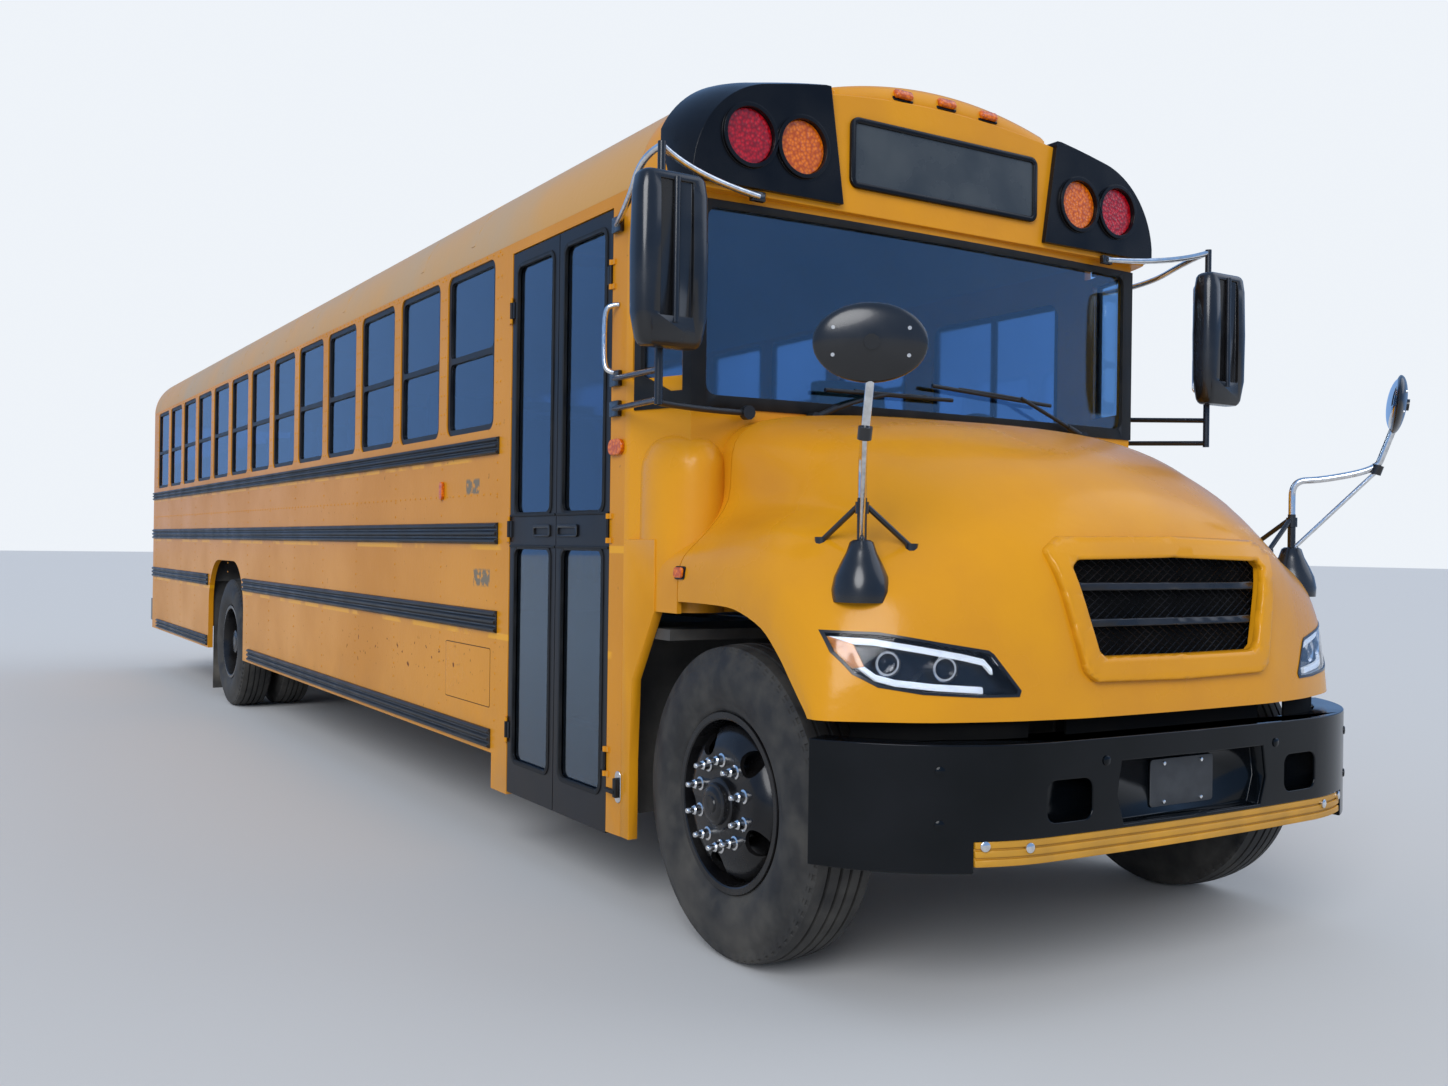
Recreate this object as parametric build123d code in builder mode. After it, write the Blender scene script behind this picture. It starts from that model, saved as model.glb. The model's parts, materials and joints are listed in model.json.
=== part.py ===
from build123d import *
import os

os.makedirs("parts", exist_ok=True)

# School bus on a conventional truck chassis, millimetres, +Z up, ground at Z = 0.
# The bus faces -Y, its entrance door is on the -X side, and the origin is below its middle.

# Driving dimensions
LENGTH = 12500.0
FRONT_AXLE_Y = -5290.0
WHEELBASE = 7750.0
REAR_AXLE_Y = FRONT_AXLE_Y + WHEELBASE
BODY_HALF = 1219.0
WALL = 40.0
FLOOR_TOP = 1080.0
SKIRT_Z = 430.0
EAVE_Z = 2700.0
SPRING_Z = EAVE_Z + 12
ROOF_CROWN = 3155.0
WINDOW_SILL = 1896.0
WINDOW_TOP = 2674.0
WINDOW_PITCH = 720.0
WINDOW_COUNT = 13
PILLAR = 110.0
TYRE_RADIUS = 527.0
TYRE_HALF_WIDTH = 139.0
FRONT_WHEEL_X = 1040.0
REAR_WHEEL_X = 1050.0
TWIN_SPACING = 322.0
KINGPIN_X = 900.0
RAIL_HALF = 430.0
RAIL_TOP = 1010.0
RAIL_HEIGHT = 256.0
MOVE_GAP = 6.0


def behind_axle(distance):
    """Y of a place given by its distance behind the front axle."""
    return FRONT_AXLE_Y + distance


def write(piece, name):
    """Label a finished piece and write its STEP file."""
    piece.part.label = name
    export_step(piece.part, f"parts/{name}.step")


HOOD_REAR = behind_axle(240)
DASH_Y = behind_axle(314)
DOOR_PILLAR = (behind_axle(636), behind_axle(754))
DOOR_REAR = behind_axle(1724)
DOOR_BOTTOM = 272.0
DOOR_TOP = 2653.0
ROOF_FRONT = behind_axle(560)
CAP_FRONT = behind_axle(262)
BODY_REAR = LENGTH / 2 - 100
REAR_WALL_FRONT = BODY_REAR - 50
WINDOWS_FRONT = behind_axle(1872)
WINDOW_WIDTH = WINDOW_PITCH - PILLAR
WINDOW_HEIGHT = WINDOW_TOP - WINDOW_SILL
WINDOW_Z = (WINDOW_TOP + WINDOW_SILL) / 2
WINDOW_CENTRES = [WINDOWS_FRONT + WINDOW_PITCH * (i + 0.5) for i in range(WINDOW_COUNT)]


# Cross-section of the body above the eaves, as closed outlines
def roof_section(y, inset, foot):
    """Face of the roof arch at y, pulled in by inset, down to foot."""
    half = BODY_HALF - inset
    crown = ROOF_CROWN - inset
    haunch = (925 - inset * 0.6, 3062 - inset)
    with BuildSketch(Plane.XZ.offset(-y)) as section:
        with BuildLine():
            Line((-half, foot), (half, foot))
            Line((half, foot), (half, SPRING_Z))
            ThreePointArc((half, SPRING_Z), (1130 - inset, 2935 - inset * 0.5), haunch)
            ThreePointArc(haunch, (0, crown), (-haunch[0], haunch[1]))
            ThreePointArc((-haunch[0], haunch[1]), (-1130 + inset, 2935 - inset * 0.5), (-half, SPRING_Z))
            Line((-half, SPRING_Z), (-half, foot))
        make_face()
    return section.sketch


# Hinges: a barrel on the moving piece turns on a pin between two lugs of the fixed one
HINGE_BARREL = 7.0
HINGE_PIN = 4.0
HINGE_LENGTH = 70.0
LUG_LENGTH = 20.0
PIN_PLAY = 0.05


def upright_barrels(axis, heights, web_x, web_y):
    """Barrels about an upright axis at (x, y), each with a web that reaches web_x and web_y from it."""
    with BuildPart() as barrels:
        for z in heights:
            with Locations((axis[0], axis[1], z)):
                Cylinder(HINGE_BARREL, HINGE_LENGTH)
            with Locations((axis[0] + web_x / 2, axis[1] + web_y / 2, z)):
                Box(abs(web_x), abs(web_y), HINGE_LENGTH)
        for z in heights:
            with Locations((axis[0], axis[1], z)):
                Cylinder(HINGE_PIN + PIN_PLAY, HINGE_LENGTH + 10, mode=Mode.SUBTRACT)
    return barrels.part


def upright_lugs(axis, heights, web_x, web_y):
    """Pins about an upright axis, each between two lugs with webs that reach web_x and web_y from it."""
    step = (HINGE_LENGTH + LUG_LENGTH) / 2 + 1
    with BuildPart() as lugs:
        for z in heights:
            with Locations((axis[0], axis[1], z)):
                Cylinder(HINGE_PIN, HINGE_LENGTH + 2 * LUG_LENGTH)
            for end in (-step, step):
                with Locations((axis[0], axis[1], z + end)):
                    Cylinder(HINGE_BARREL, LUG_LENGTH)
                with Locations((axis[0] + web_x / 2, axis[1] + web_y / 2, z + end)):
                    Box(abs(web_x), abs(web_y), LUG_LENGTH)
    return lugs.part


# Chassis frame: two channel rails with jacking pads, and the brackets that carry the hood's hinge pins
CROSS_MEMBERS = [-715, 1250, 2500, 4300, 6100, 7150, 8350, 9700, 11000]
JACK_PAD_Y = behind_axle(4500)
HOOD_PIVOT = (behind_axle(-820), 690.0)
HOOD_PIN = 12.0
HOOD_ARM_X = 525.0
RAIL_FLANGE = 80.0
RAIL_PLATE = 12.0
with BuildPart() as chassis_frame:
    rail_front = behind_axle(-760)
    rail_rear = BODY_REAR - 120
    with BuildSketch(Plane.XZ.offset(-rail_rear)):
        for side in (-1, 1):
            with Locations((side * (RAIL_HALF - RAIL_FLANGE / 2), RAIL_TOP - RAIL_HEIGHT / 2)):
                Rectangle(RAIL_FLANGE, RAIL_HEIGHT)
            with Locations((side * (RAIL_HALF - RAIL_FLANGE / 2 - 15), RAIL_TOP - RAIL_HEIGHT / 2)):
                Rectangle(RAIL_FLANGE + 10, RAIL_HEIGHT - 2 * RAIL_PLATE, mode=Mode.SUBTRACT)
    extrude(amount=rail_rear - rail_front)
    rail_foot = RAIL_TOP - RAIL_HEIGHT
    for side in (-1, 1):
        with Locations((side * (RAIL_HALF - RAIL_FLANGE / 2), JACK_PAD_Y, rail_foot - 5)):
            Box(120, 160, 10)
        with Locations((side * 420, rail_front + 30, rail_foot - 24)):
            Box(140, 60, 50)
        with Locations((side * 480, HOOD_PIVOT[0] + 45, HOOD_PIVOT[1] + 8)):
            Box(20, 150, 86)
        with Locations((side * 515, *HOOD_PIVOT)):
            Cylinder(HOOD_PIN, 70, rotation=(0, 90, 0))
write(chassis_frame, "chassis_frame")

with BuildPart() as cross_members:
    for distance in CROSS_MEMBERS:
        with Locations((0, behind_axle(distance), RAIL_TOP - 64)):
            Box(2 * (RAIL_HALF - 10), 80, 100)
write(cross_members, "cross_members")


# Floor: deck, cross bearers, raised boxes over the rear tyres and the entry steps
STEP_FRONT = DOOR_PILLAR[1] + 30
STEP_REAR = DOOR_REAR - 30
STEP_RISE = 240.0
STEP_DEPTH = 235.0
STEP_SHEET = 15.0
HOUSING_HALF = 650.0
HOUSING_TOP = 1245.0
with BuildPart() as floor:
    deck_front = DASH_Y + WALL
    deck_middle = (deck_front + REAR_WALL_FRONT) / 2
    with Locations((0, deck_middle, FLOOR_TOP - 20)):
        Box(2 * (BODY_HALF - WALL), REAR_WALL_FRONT - deck_front, 40)
    for centre in WINDOW_CENTRES:
        with Locations((0, centre, FLOOR_TOP - 55)):
            Box(2 * (BODY_HALF - WALL), 60, 30)
    for side in (-1, 1):
        with Locations((side * 870, REAR_AXLE_Y, (HOUSING_TOP + 1010) / 2)):
            Box(618, 2 * HOUSING_HALF, HOUSING_TOP - 1010)
        with Locations((side * 890, REAR_AXLE_Y, (HOUSING_TOP + 950) / 2 - 15)):
            Box(618, 2 * HOUSING_HALF - 30, HOUSING_TOP - 950, mode=Mode.SUBTRACT)
    well_wall = -BODY_HALF + WALL
    tread = []
    for i in range(4):
        x = well_wall + i * STEP_DEPTH
        z = FLOOR_TOP - (3 - i) * STEP_RISE
        tread += [(x, z), (x + STEP_DEPTH, z)]
    underside = [(x + STEP_SHEET, z - STEP_SHEET) for x, z in tread[1:-1]]
    well_outline = [*tread[:-1], (well_wall, FLOOR_TOP)]
    with BuildSketch(Plane.XZ.offset(-STEP_REAR)):
        with BuildLine():
            Polyline(*well_outline, close=True)
        make_face()
    extrude(amount=STEP_REAR - STEP_FRONT, mode=Mode.SUBTRACT)
    well_length = 3 * STEP_DEPTH + STEP_SHEET
    with Locations((well_wall + well_length / 2, (STEP_FRONT + STEP_REAR) / 2, FLOOR_TOP - 55)):
        Box(well_length, STEP_REAR - STEP_FRONT + 2 * STEP_SHEET, 200, mode=Mode.SUBTRACT)
write(floor, "floor")


# Entry steps: one folded sheet with three treads between two side plates
with BuildPart() as entry_steps:
    with BuildSketch(Plane.XZ.offset(-STEP_REAR)):
        with BuildLine():
            Polyline(*tread[:-1], (underside[-1][0], FLOOR_TOP), *reversed(underside[:-1]),
                     (well_wall, underside[0][1]), close=True)
        make_face()
    extrude(amount=STEP_REAR - STEP_FRONT)
    for y in (STEP_FRONT, STEP_REAR + STEP_SHEET):
        with BuildSketch(Plane.XZ.offset(-y)):
            with BuildLine():
                Polyline((well_wall, underside[0][1]), *underside[:-1], (underside[-1][0], FLOOR_TOP),
                         (well_wall, FLOOR_TOP), close=True)
            make_face()
        extrude(amount=STEP_SHEET)
write(entry_steps, "entry_steps")


# Side walls: skin and lining in one, with the sash openings, wheel arch and doorway cut through
ARCH_TOP = 1201.0
ARCH_FRONT = REAR_AXLE_Y - 710
ARCH_REAR = REAR_AXLE_Y + 665
STOP_HINGE = (BODY_HALF + 30, behind_axle(1000), 1330)
STOP_PIN = 6.0
LEAF_GAP = 6.0
LEAF_HINGE_X = -BODY_HALF - 6
LEAF_ENDS = (DOOR_PILLAR[1] + LEAF_GAP, DOOR_REAR - LEAF_GAP)
LEAF_HINGES = (560, 1440, 2400)
DRIVER_WINDOW = (behind_axle(800), behind_axle(1700), 1700.0, 2560.0)


def side_wall(side):
    """Side wall on the -X side (side = -1, with the doorway) or the +X side."""
    with BuildPart() as wall:
        with BuildSketch(Plane.YZ.offset(side * BODY_HALF - (WALL if side > 0 else 0))):
            corner = DOOR_REAR + 176
            low = DOOR_BOTTOM if side < 0 else SKIRT_Z - 60
            with BuildLine():
                Polyline((DOOR_PILLAR[0], low + 25), (DOOR_REAR, low), (corner, low), (corner, SKIRT_Z),
                         (REAR_WALL_FRONT, SKIRT_Z), (REAR_WALL_FRONT, EAVE_Z), (DOOR_PILLAR[0], EAVE_Z),
                         close=True)
            make_face()
            with Locations((WINDOWS_FRONT + WINDOW_PITCH * WINDOW_COUNT / 2, WINDOW_Z)):
                with GridLocations(WINDOW_PITCH, 1, WINDOW_COUNT, 1):
                    RectangleRounded(WINDOW_WIDTH, WINDOW_HEIGHT, 55, mode=Mode.SUBTRACT)
            with Locations(((ARCH_FRONT + ARCH_REAR) / 2, ARCH_TOP - 500)):
                RectangleRounded(ARCH_REAR - ARCH_FRONT, 1000, 400, mode=Mode.SUBTRACT)
            with Locations(((ARCH_FRONT + ARCH_REAR) / 2, SKIRT_Z)):
                Rectangle(ARCH_REAR - ARCH_FRONT, 600, mode=Mode.SUBTRACT)
            if side < 0:
                with Locations(((DOOR_PILLAR[1] + DOOR_REAR) / 2, (DOOR_TOP + DOOR_BOTTOM) / 2 - 50)):
                    Rectangle(DOOR_REAR - DOOR_PILLAR[1], DOOR_TOP - DOOR_BOTTOM + 100, mode=Mode.SUBTRACT)
            else:
                front, rear, bottom, top = DRIVER_WINDOW
                with Locations(((front + rear) / 2, (bottom + top) / 2)):
                    RectangleRounded(rear - front, top - bottom, 70, mode=Mode.SUBTRACT)
        extrude(amount=WALL)
        if side > 0:
            for z in (STOP_HINGE[2] - 146, STOP_HINGE[2] + 146):
                with Locations((BODY_HALF + 20, STOP_HINGE[1], z)):
                    Box(40, 30, 20)
            with Locations(STOP_HINGE):
                Cylinder(STOP_PIN + PIN_PLAY, 400, mode=Mode.SUBTRACT)
        else:
            add(upright_lugs((LEAF_HINGE_X, LEAF_ENDS[0]), LEAF_HINGES, WALL / 4, -30))
            add(upright_lugs((LEAF_HINGE_X, LEAF_ENDS[1]), LEAF_HINGES, WALL / 4, 30))
    return wall


side_wall_right = side_wall(-1)
write(side_wall_right, "side_wall_right")
side_wall_left = side_wall(1)
write(side_wall_left, "side_wall_left")


# Roof: the arched shell between the two end caps, with the collars of its two hatches
HATCHES = (behind_axle(3400), behind_axle(8600))
HATCH_OPENING = 600.0
COLLAR_TOP = ROOF_CROWN + 22
LID_OVERHANG = 35.0
LID_HINGE = HATCH_OPENING / 2 + LID_OVERHANG + 7
LID_HINGE_Z = COLLAR_TOP + 6
HATCH_HINGES = (-200, 200)
lug_step = (HINGE_LENGTH + LUG_LENGTH) / 2 + 1
with BuildPart() as roof:
    extrude(roof_section(REAR_WALL_FRONT, 0, EAVE_Z), amount=REAR_WALL_FRONT - ROOF_FRONT)
    lining = roof_section(REAR_WALL_FRONT, WALL, EAVE_Z - 20)
    extrude(lining, amount=REAR_WALL_FRONT - ROOF_FRONT, mode=Mode.SUBTRACT)
    for y in HATCHES:
        with Locations((0, y, COLLAR_TOP - 40)):
            Box(HATCH_OPENING + 40, HATCH_OPENING + 40, 80)
    for y in HATCHES:
        with Locations((0, y, COLLAR_TOP)):
            Box(HATCH_OPENING, HATCH_OPENING, 400, mode=Mode.SUBTRACT)
    for y in HATCHES:
        for x in HATCH_HINGES:
            with Locations((x, y - LID_HINGE, LID_HINGE_Z)):
                Cylinder(HINGE_PIN, HINGE_LENGTH + 2 * LUG_LENGTH, rotation=(0, 90, 0))
            for end in (-lug_step, lug_step):
                with Locations((x + end, y - LID_HINGE, LID_HINGE_Z)):
                    Cylinder(HINGE_BARREL, LUG_LENGTH, rotation=(0, 90, 0))
                with Locations((x + end, y - LID_HINGE - 6, LID_HINGE_Z - 25)):
                    Box(LUG_LENGTH, 12, 50)
write(roof, "roof")


# Front cap: the bulging hood over the windshield
def cap_section(y, half, haunch_x, haunch_z, crown, foot):
    """Cross-section face of the front cap at y."""
    with BuildSketch(Plane.XZ.offset(-y)) as section:
        with BuildLine():
            Line((-half, foot), (half, foot))
            Line((half, foot), (half, SPRING_Z))
            ThreePointArc((half, SPRING_Z), (half - 90, haunch_z - 125), (haunch_x, haunch_z))
            ThreePointArc((haunch_x, haunch_z), (0, crown), (-haunch_x, haunch_z))
            ThreePointArc((-haunch_x, haunch_z), (-half + 90, haunch_z - 125), (-half, SPRING_Z))
            Line((-half, SPRING_Z), (-half, foot))
        make_face()
    return section.sketch


CAP_STATIONS = [
    # behind axle, half width, haunch x, haunch z, crown z
    (560, 1219, 925, 3062, 3155),
    (400, 1205, 905, 3055, 3150),
    (262, 1150, 850, 3020, 3110),
]


def cap_form(inset, foot):
    """The front cap's solid form, pulled in by inset at its sides, top and front."""
    sections = []
    for distance, half, haunch_x, haunch_z, crown in CAP_STATIONS:
        y = behind_axle(distance) + (inset if distance < 300 else 0)
        sections.append(cap_section(y, half - inset, haunch_x - inset / 2, haunch_z - inset, crown - inset, foot))
    with BuildPart() as form:
        loft(sections)
    return form.part


CAP_FOOT = 2640.0
with BuildPart() as front_cap:
    add(cap_form(0, CAP_FOOT))
    add(cap_form(WALL, CAP_FOOT + 30), mode=Mode.SUBTRACT)
    with Locations((0, ROOF_FRONT - 60, CAP_FOOT + 100)):
        Box(2 * (BODY_HALF - 2 * WALL), 200, 260, mode=Mode.SUBTRACT)
write(front_cap, "front_cap")


# Hood and fenders: one tilting moulding, defined by half-sections across the bus
HOOD_STATIONS = [
    # behind axle, crown z, shoulder x, z, crease x, z, outer x, outer top z
    (240, 1885, 940, 1800, 1020, 1560, 1212, 1335),
    (-80, 1848, 890, 1760, 965, 1545, 1213, 1345),
    (-450, 1745, 790, 1655, 880, 1475, 1213, 1275),
    (-730, 1590, 630, 1500, 765, 1345, 1213, 1130),
    (-960, 1290, 470, 1190, 560, 1050, 1213, 905),
]
HOOD_LINE = (-925, 600, -908, 985, -795, 1225, -520)
HOOD_RAKE = (0, 0.17, 1)
HOOD_FOOT = 873.0
HOOD_SHELL = 18.0
HOOD_ARM_WIDTH = 36.0
HOOD_ARM = [(13, -13), (148, 122), (148, 263), (-68, 263), (-68, 227), (112, 227), (112, 138), (-13, 13)]


def hood_section(y, station, inset, foot):
    """Closed cross-section face of hood and fenders at y, pulled in by inset."""
    distance, crown, shoulder_x, shoulder_z, crease_x, crease_z, outer_x, outer_z = station
    right = [
        (outer_x - inset, foot),
        (outer_x - inset, outer_z - inset),
        (outer_x - 90 - inset, outer_z + 85 - inset),
        (crease_x - inset * 0.7, crease_z - inset * 0.7),
        (shoulder_x - inset, shoulder_z - inset * 0.6),
        (shoulder_x * 0.82 - inset * 0.6, shoulder_z + (crown - shoulder_z) * 0.72 - inset),
    ]
    left = [(-x, z) for x, z in reversed(right)]
    with BuildSketch(Plane.XZ.offset(-y)) as section:
        with BuildLine():
            Polyline(*right)
            ThreePointArc(right[-1], (0, crown - inset), left[0])
            Polyline(*left)
            Line(left[-1], right[0])
        make_face()
    return section.sketch


def front_outline(z, inset, nose, flat_half, flat, corner_x, corner, side_x, side, rear):
    """Plan face of a piece that wraps round the front: places are behind the front axle."""
    nose_y, flat_y, corner_y, side_y = [behind_axle(place + inset) for place in (nose, flat, corner, side)]
    corner_x = corner_x - inset
    side_x = side_x - inset
    with BuildSketch(Plane.XY.offset(z)) as outline:
        with BuildLine():
            ThreePointArc((-flat_half, flat_y), (0, nose_y), (flat_half, flat_y))
            ThreePointArc((flat_half, flat_y), (corner_x, corner_y), (side_x, side_y))
            Polyline((side_x, side_y), (side_x, behind_axle(rear)), (-side_x, behind_axle(rear)),
                     (-side_x, side_y))
            ThreePointArc((-side_x, side_y), (-corner_x, corner_y), (-flat_half, flat_y))
        make_face()
    return outline.sketch


def hood_form(inset, foot):
    """The hood's solid form, pulled in by inset."""
    with BuildPart() as form:
        loft([hood_section(behind_axle(row[0]), row, inset, foot) for row in HOOD_STATIONS])
        nose = front_outline(HOOD_FOOT - 40, inset, *HOOD_LINE, 700)
        extrude(nose, amount=1300, dir=HOOD_RAKE, mode=Mode.INTERSECT)
    return form.part


def headlamp_faces():
    """Front outlines of both headlamps."""
    with BuildSketch(Plane.XZ.offset(-behind_axle(-500))) as outline:
        for side in (-1, 1):
            with BuildLine():
                Polyline((side * 640, 949), (side * 721, 1084), (side * 1160, 1120), (side * 1120, 1000),
                         (side * 960, 945), close=True)
            make_face()
    return outline.sketch


ARCH_LIP_RADIUS = 655.0
FRONT_ARCH_TOP = 1185.0
with BuildPart() as hood:
    add(hood_form(0, HOOD_FOOT))
    add(hood_form(HOOD_SHELL, HOOD_FOOT - 60), mode=Mode.SUBTRACT)
    mouth = hood_section(HOOD_REAR + 1, HOOD_STATIONS[0], HOOD_SHELL, HOOD_FOOT - 60)
    extrude(mouth, amount=30, mode=Mode.SUBTRACT)
    for side in (-1, 1):
        with BuildSketch(Plane.YZ.offset(side * 760 - (0 if side > 0 else 500))):
            with Locations((FRONT_AXLE_Y, 520)):
                Circle(ARCH_LIP_RADIUS)
            with Locations((FRONT_AXLE_Y + 200, 520 + (FRONT_ARCH_TOP - 520) / 2)):
                Rectangle(400, FRONT_ARCH_TOP - 520)
        extrude(amount=500, mode=Mode.SUBTRACT)
    with BuildSketch(Plane.XZ.offset(-behind_axle(-600))):
        with BuildLine():
            Polyline((-452, 1347), (-369, 1057), (369, 1057), (452, 1347), close=True)
        make_face()
        fillet(vertices(), 40)
    extrude(amount=400, mode=Mode.SUBTRACT)
    extrude(headlamp_faces(), amount=500, mode=Mode.SUBTRACT)
    for side in (-1, 1):
        with BuildSketch(Plane.YZ.offset(side * HOOD_ARM_X - HOOD_ARM_WIDTH / 2)):
            with BuildLine():
                Polyline(*((HOOD_PIVOT[0] + y, HOOD_PIVOT[1] + z) for y, z in HOOD_ARM), close=True)
            make_face()
            with Locations(HOOD_PIVOT):
                Circle(26)
                Circle(HOOD_PIN + PIN_PLAY, mode=Mode.SUBTRACT)
        extrude(amount=HOOD_ARM_WIDTH)
write(hood, "hood")


# Cowl: the body's front below and beside the windshield, as far back as the door pillars
def body_front_outline(z, inset):
    """Plan face of the body's rounded front at z, from the windshield back to the door pillars."""
    half = BODY_HALF - inset
    corner = (1127 - inset * 0.8, DASH_Y + inset)
    with BuildSketch(Plane.XY.offset(z)) as outline:
        with BuildLine():
            Polyline((-corner[0], corner[1]), (-half, DOOR_PILLAR[0] - 36), (-half, DOOR_PILLAR[0]),
                     (half, DOOR_PILLAR[0]), (half, DOOR_PILLAR[0] - 36), corner)
            ThreePointArc(corner, (0, DASH_Y - 32 + inset), (-corner[0], corner[1]))
        make_face()
    return outline.sketch


COWL_FOOT = 1143.0
COWL_HEAD = 2640.0
GLASS_FOOT = 1906.0
GLASS_HEAD = 2600.0
with BuildPart() as front_cowl:
    skirt = hood_section(DOOR_PILLAR[0], HOOD_STATIONS[0], 0, COWL_FOOT)
    extrude(skirt, amount=DOOR_PILLAR[0] - HOOD_REAR - MOVE_GAP)
    hollow = hood_section(DOOR_PILLAR[0], HOOD_STATIONS[0], HOOD_SHELL, COWL_FOOT - 60)
    extrude(hollow, amount=DOOR_PILLAR[0] - HOOD_REAR + 50, mode=Mode.SUBTRACT)
    extrude(body_front_outline(COWL_FOOT, 0), amount=COWL_HEAD - COWL_FOOT)
    extrude(body_front_outline(COWL_FOOT - 200, WALL), amount=COWL_HEAD, mode=Mode.SUBTRACT)
    with Locations((0, DOOR_PILLAR[0], COWL_HEAD / 2)):
        Box(2 * (BODY_HALF - WALL), 80, COWL_HEAD + 200, mode=Mode.SUBTRACT)
    with Locations((0, DASH_Y, (GLASS_FOOT + GLASS_HEAD) / 2)):
        Box(2 * 1085, 200, GLASS_HEAD - GLASS_FOOT, mode=Mode.SUBTRACT)
    with Locations((0, (DASH_Y + DOOR_PILLAR[0]) / 2 - 2, (GLASS_FOOT + GLASS_HEAD) / 2 + 40)):
        Box(2500, 235, GLASS_HEAD - GLASS_FOOT - 80, mode=Mode.SUBTRACT)
    for side in (-1, 1):
        with BuildSketch(Plane.YZ.offset(side * BODY_HALF - (WALL if side > 0 else 0))):
            with BuildLine():
                Polyline((DOOR_PILLAR[0], 297), (behind_axle(570), 297), (behind_axle(570), 590),
                         (behind_axle(556), 885), (behind_axle(400), COWL_FOOT), (behind_axle(400), 1400),
                         (DOOR_PILLAR[0], 1400), close=True)
            make_face()
        extrude(amount=WALL)
write(front_cowl, "front_cowl")


# Rear wall: the flat back of the body round its emergency door
DOOR_HALF = 460.0
REAR_DOOR_TOP = 2680.0
REAR_HINGE = (-DOOR_HALF - 2, BODY_REAR + 12)
REAR_HINGES = (1300, 1880, 2460)
REAR_WINDOW = (545.0, 1090.0, WINDOW_SILL, 2600.0)
with BuildPart() as rear_wall:
    extrude(roof_section(BODY_REAR, 0, SKIRT_Z), amount=BODY_REAR - REAR_WALL_FRONT)
    with BuildSketch(Plane.XZ.offset(-BODY_REAR)):
        with Locations((0, (REAR_DOOR_TOP + FLOOR_TOP) / 2)):
            Rectangle(2 * DOOR_HALF, REAR_DOOR_TOP - FLOOR_TOP)
        inner, outer, bottom, top = REAR_WINDOW
        for side in (-1, 1):
            with Locations((side * (inner + outer) / 2, (bottom + top) / 2)):
                RectangleRounded(outer - inner, top - bottom, 60)
    extrude(amount=BODY_REAR - REAR_WALL_FRONT, mode=Mode.SUBTRACT)
    add(upright_lugs(REAR_HINGE, REAR_HINGES, -40, -12))
write(rear_wall, "rear_wall")


# Window frames: black sashes with a dividing bar, set in the wall openings
SASH = 28.0
SASH_DEPTH = 26.0
DIVIDER_Z = 2261.0
GLASS = 6.0
with BuildPart() as window_frames:
    for side in (-1, 1):
        outer_face = side * (BODY_HALF - 7)
        with BuildSketch(Plane.YZ.offset(outer_face - (SASH_DEPTH if side > 0 else 0))):
            for centre in WINDOW_CENTRES:
                with Locations((centre, WINDOW_Z)):
                    RectangleRounded(WINDOW_WIDTH, WINDOW_HEIGHT, 55)
                for low, high in ((WINDOW_SILL, DIVIDER_Z - SASH / 2), (DIVIDER_Z + SASH / 2, WINDOW_TOP)):
                    foot = low + (SASH if low == WINDOW_SILL else 0)
                    head = high - (SASH if high == WINDOW_TOP else 0)
                    with Locations((centre, (foot + head) / 2)):
                        RectangleRounded(WINDOW_WIDTH - 2 * SASH, head - foot, 30, mode=Mode.SUBTRACT)
        extrude(amount=SASH_DEPTH)
    front, rear, bottom, top = DRIVER_WINDOW
    with BuildSketch(Plane.YZ.offset(BODY_HALF - 7 - SASH_DEPTH)):
        with Locations(((front + rear) / 2, (bottom + top) / 2)):
            RectangleRounded(rear - front, top - bottom, 70)
            Rectangle(rear - front - 2 * SASH, top - bottom - 2 * SASH, mode=Mode.SUBTRACT)
            Rectangle(SASH, top - bottom - 2 * SASH)
    extrude(amount=SASH_DEPTH)
    inner, outer, bottom, top = REAR_WINDOW
    with BuildSketch(Plane.XZ.offset(-BODY_REAR + 7)):
        for side in (-1, 1):
            with Locations((side * (inner + outer) / 2, (bottom + top) / 2)):
                RectangleRounded(outer - inner, top - bottom, 60)
                RectangleRounded(outer - inner - 2 * SASH, top - bottom - 2 * SASH, 40, mode=Mode.SUBTRACT)
    extrude(amount=SASH_DEPTH)
write(window_frames, "window_frames")


def side_glass(side):
    """Fixed panes of one side, with the rear window on that side."""
    with BuildPart() as panes:
        with BuildSketch(Plane.YZ.offset(side * (BODY_HALF - 20) - (GLASS if side > 0 else 0))):
            for centre in WINDOW_CENTRES:
                for foot, head in ((WINDOW_SILL + SASH, DIVIDER_Z - SASH / 2), (DIVIDER_Z + SASH / 2, WINDOW_TOP - SASH)):
                    with Locations((centre, (foot + head) / 2)):
                        RectangleRounded(WINDOW_WIDTH - 2 * SASH, head - foot, 30)
            if side > 0:
                front, rear, bottom, top = DRIVER_WINDOW
                with Locations(((front + rear) / 2, (bottom + top) / 2)):
                    Rectangle(rear - front - 2 * SASH, top - bottom - 2 * SASH)
                    Rectangle(SASH, top - bottom, mode=Mode.SUBTRACT)
        extrude(amount=GLASS)
        inner, outer, bottom, top = REAR_WINDOW
        with BuildSketch(Plane.XZ.offset(-BODY_REAR + 20)):
            with Locations((side * (inner + outer) / 2, (bottom + top) / 2)):
                RectangleRounded(outer - inner - 2 * SASH, top - bottom - 2 * SASH, 40)
        extrude(amount=GLASS)
    return panes


window_glass_right = side_glass(-1)
write(window_glass_right, "window_glass_right")
window_glass_left = side_glass(1)
write(window_glass_left, "window_glass_left")


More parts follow.
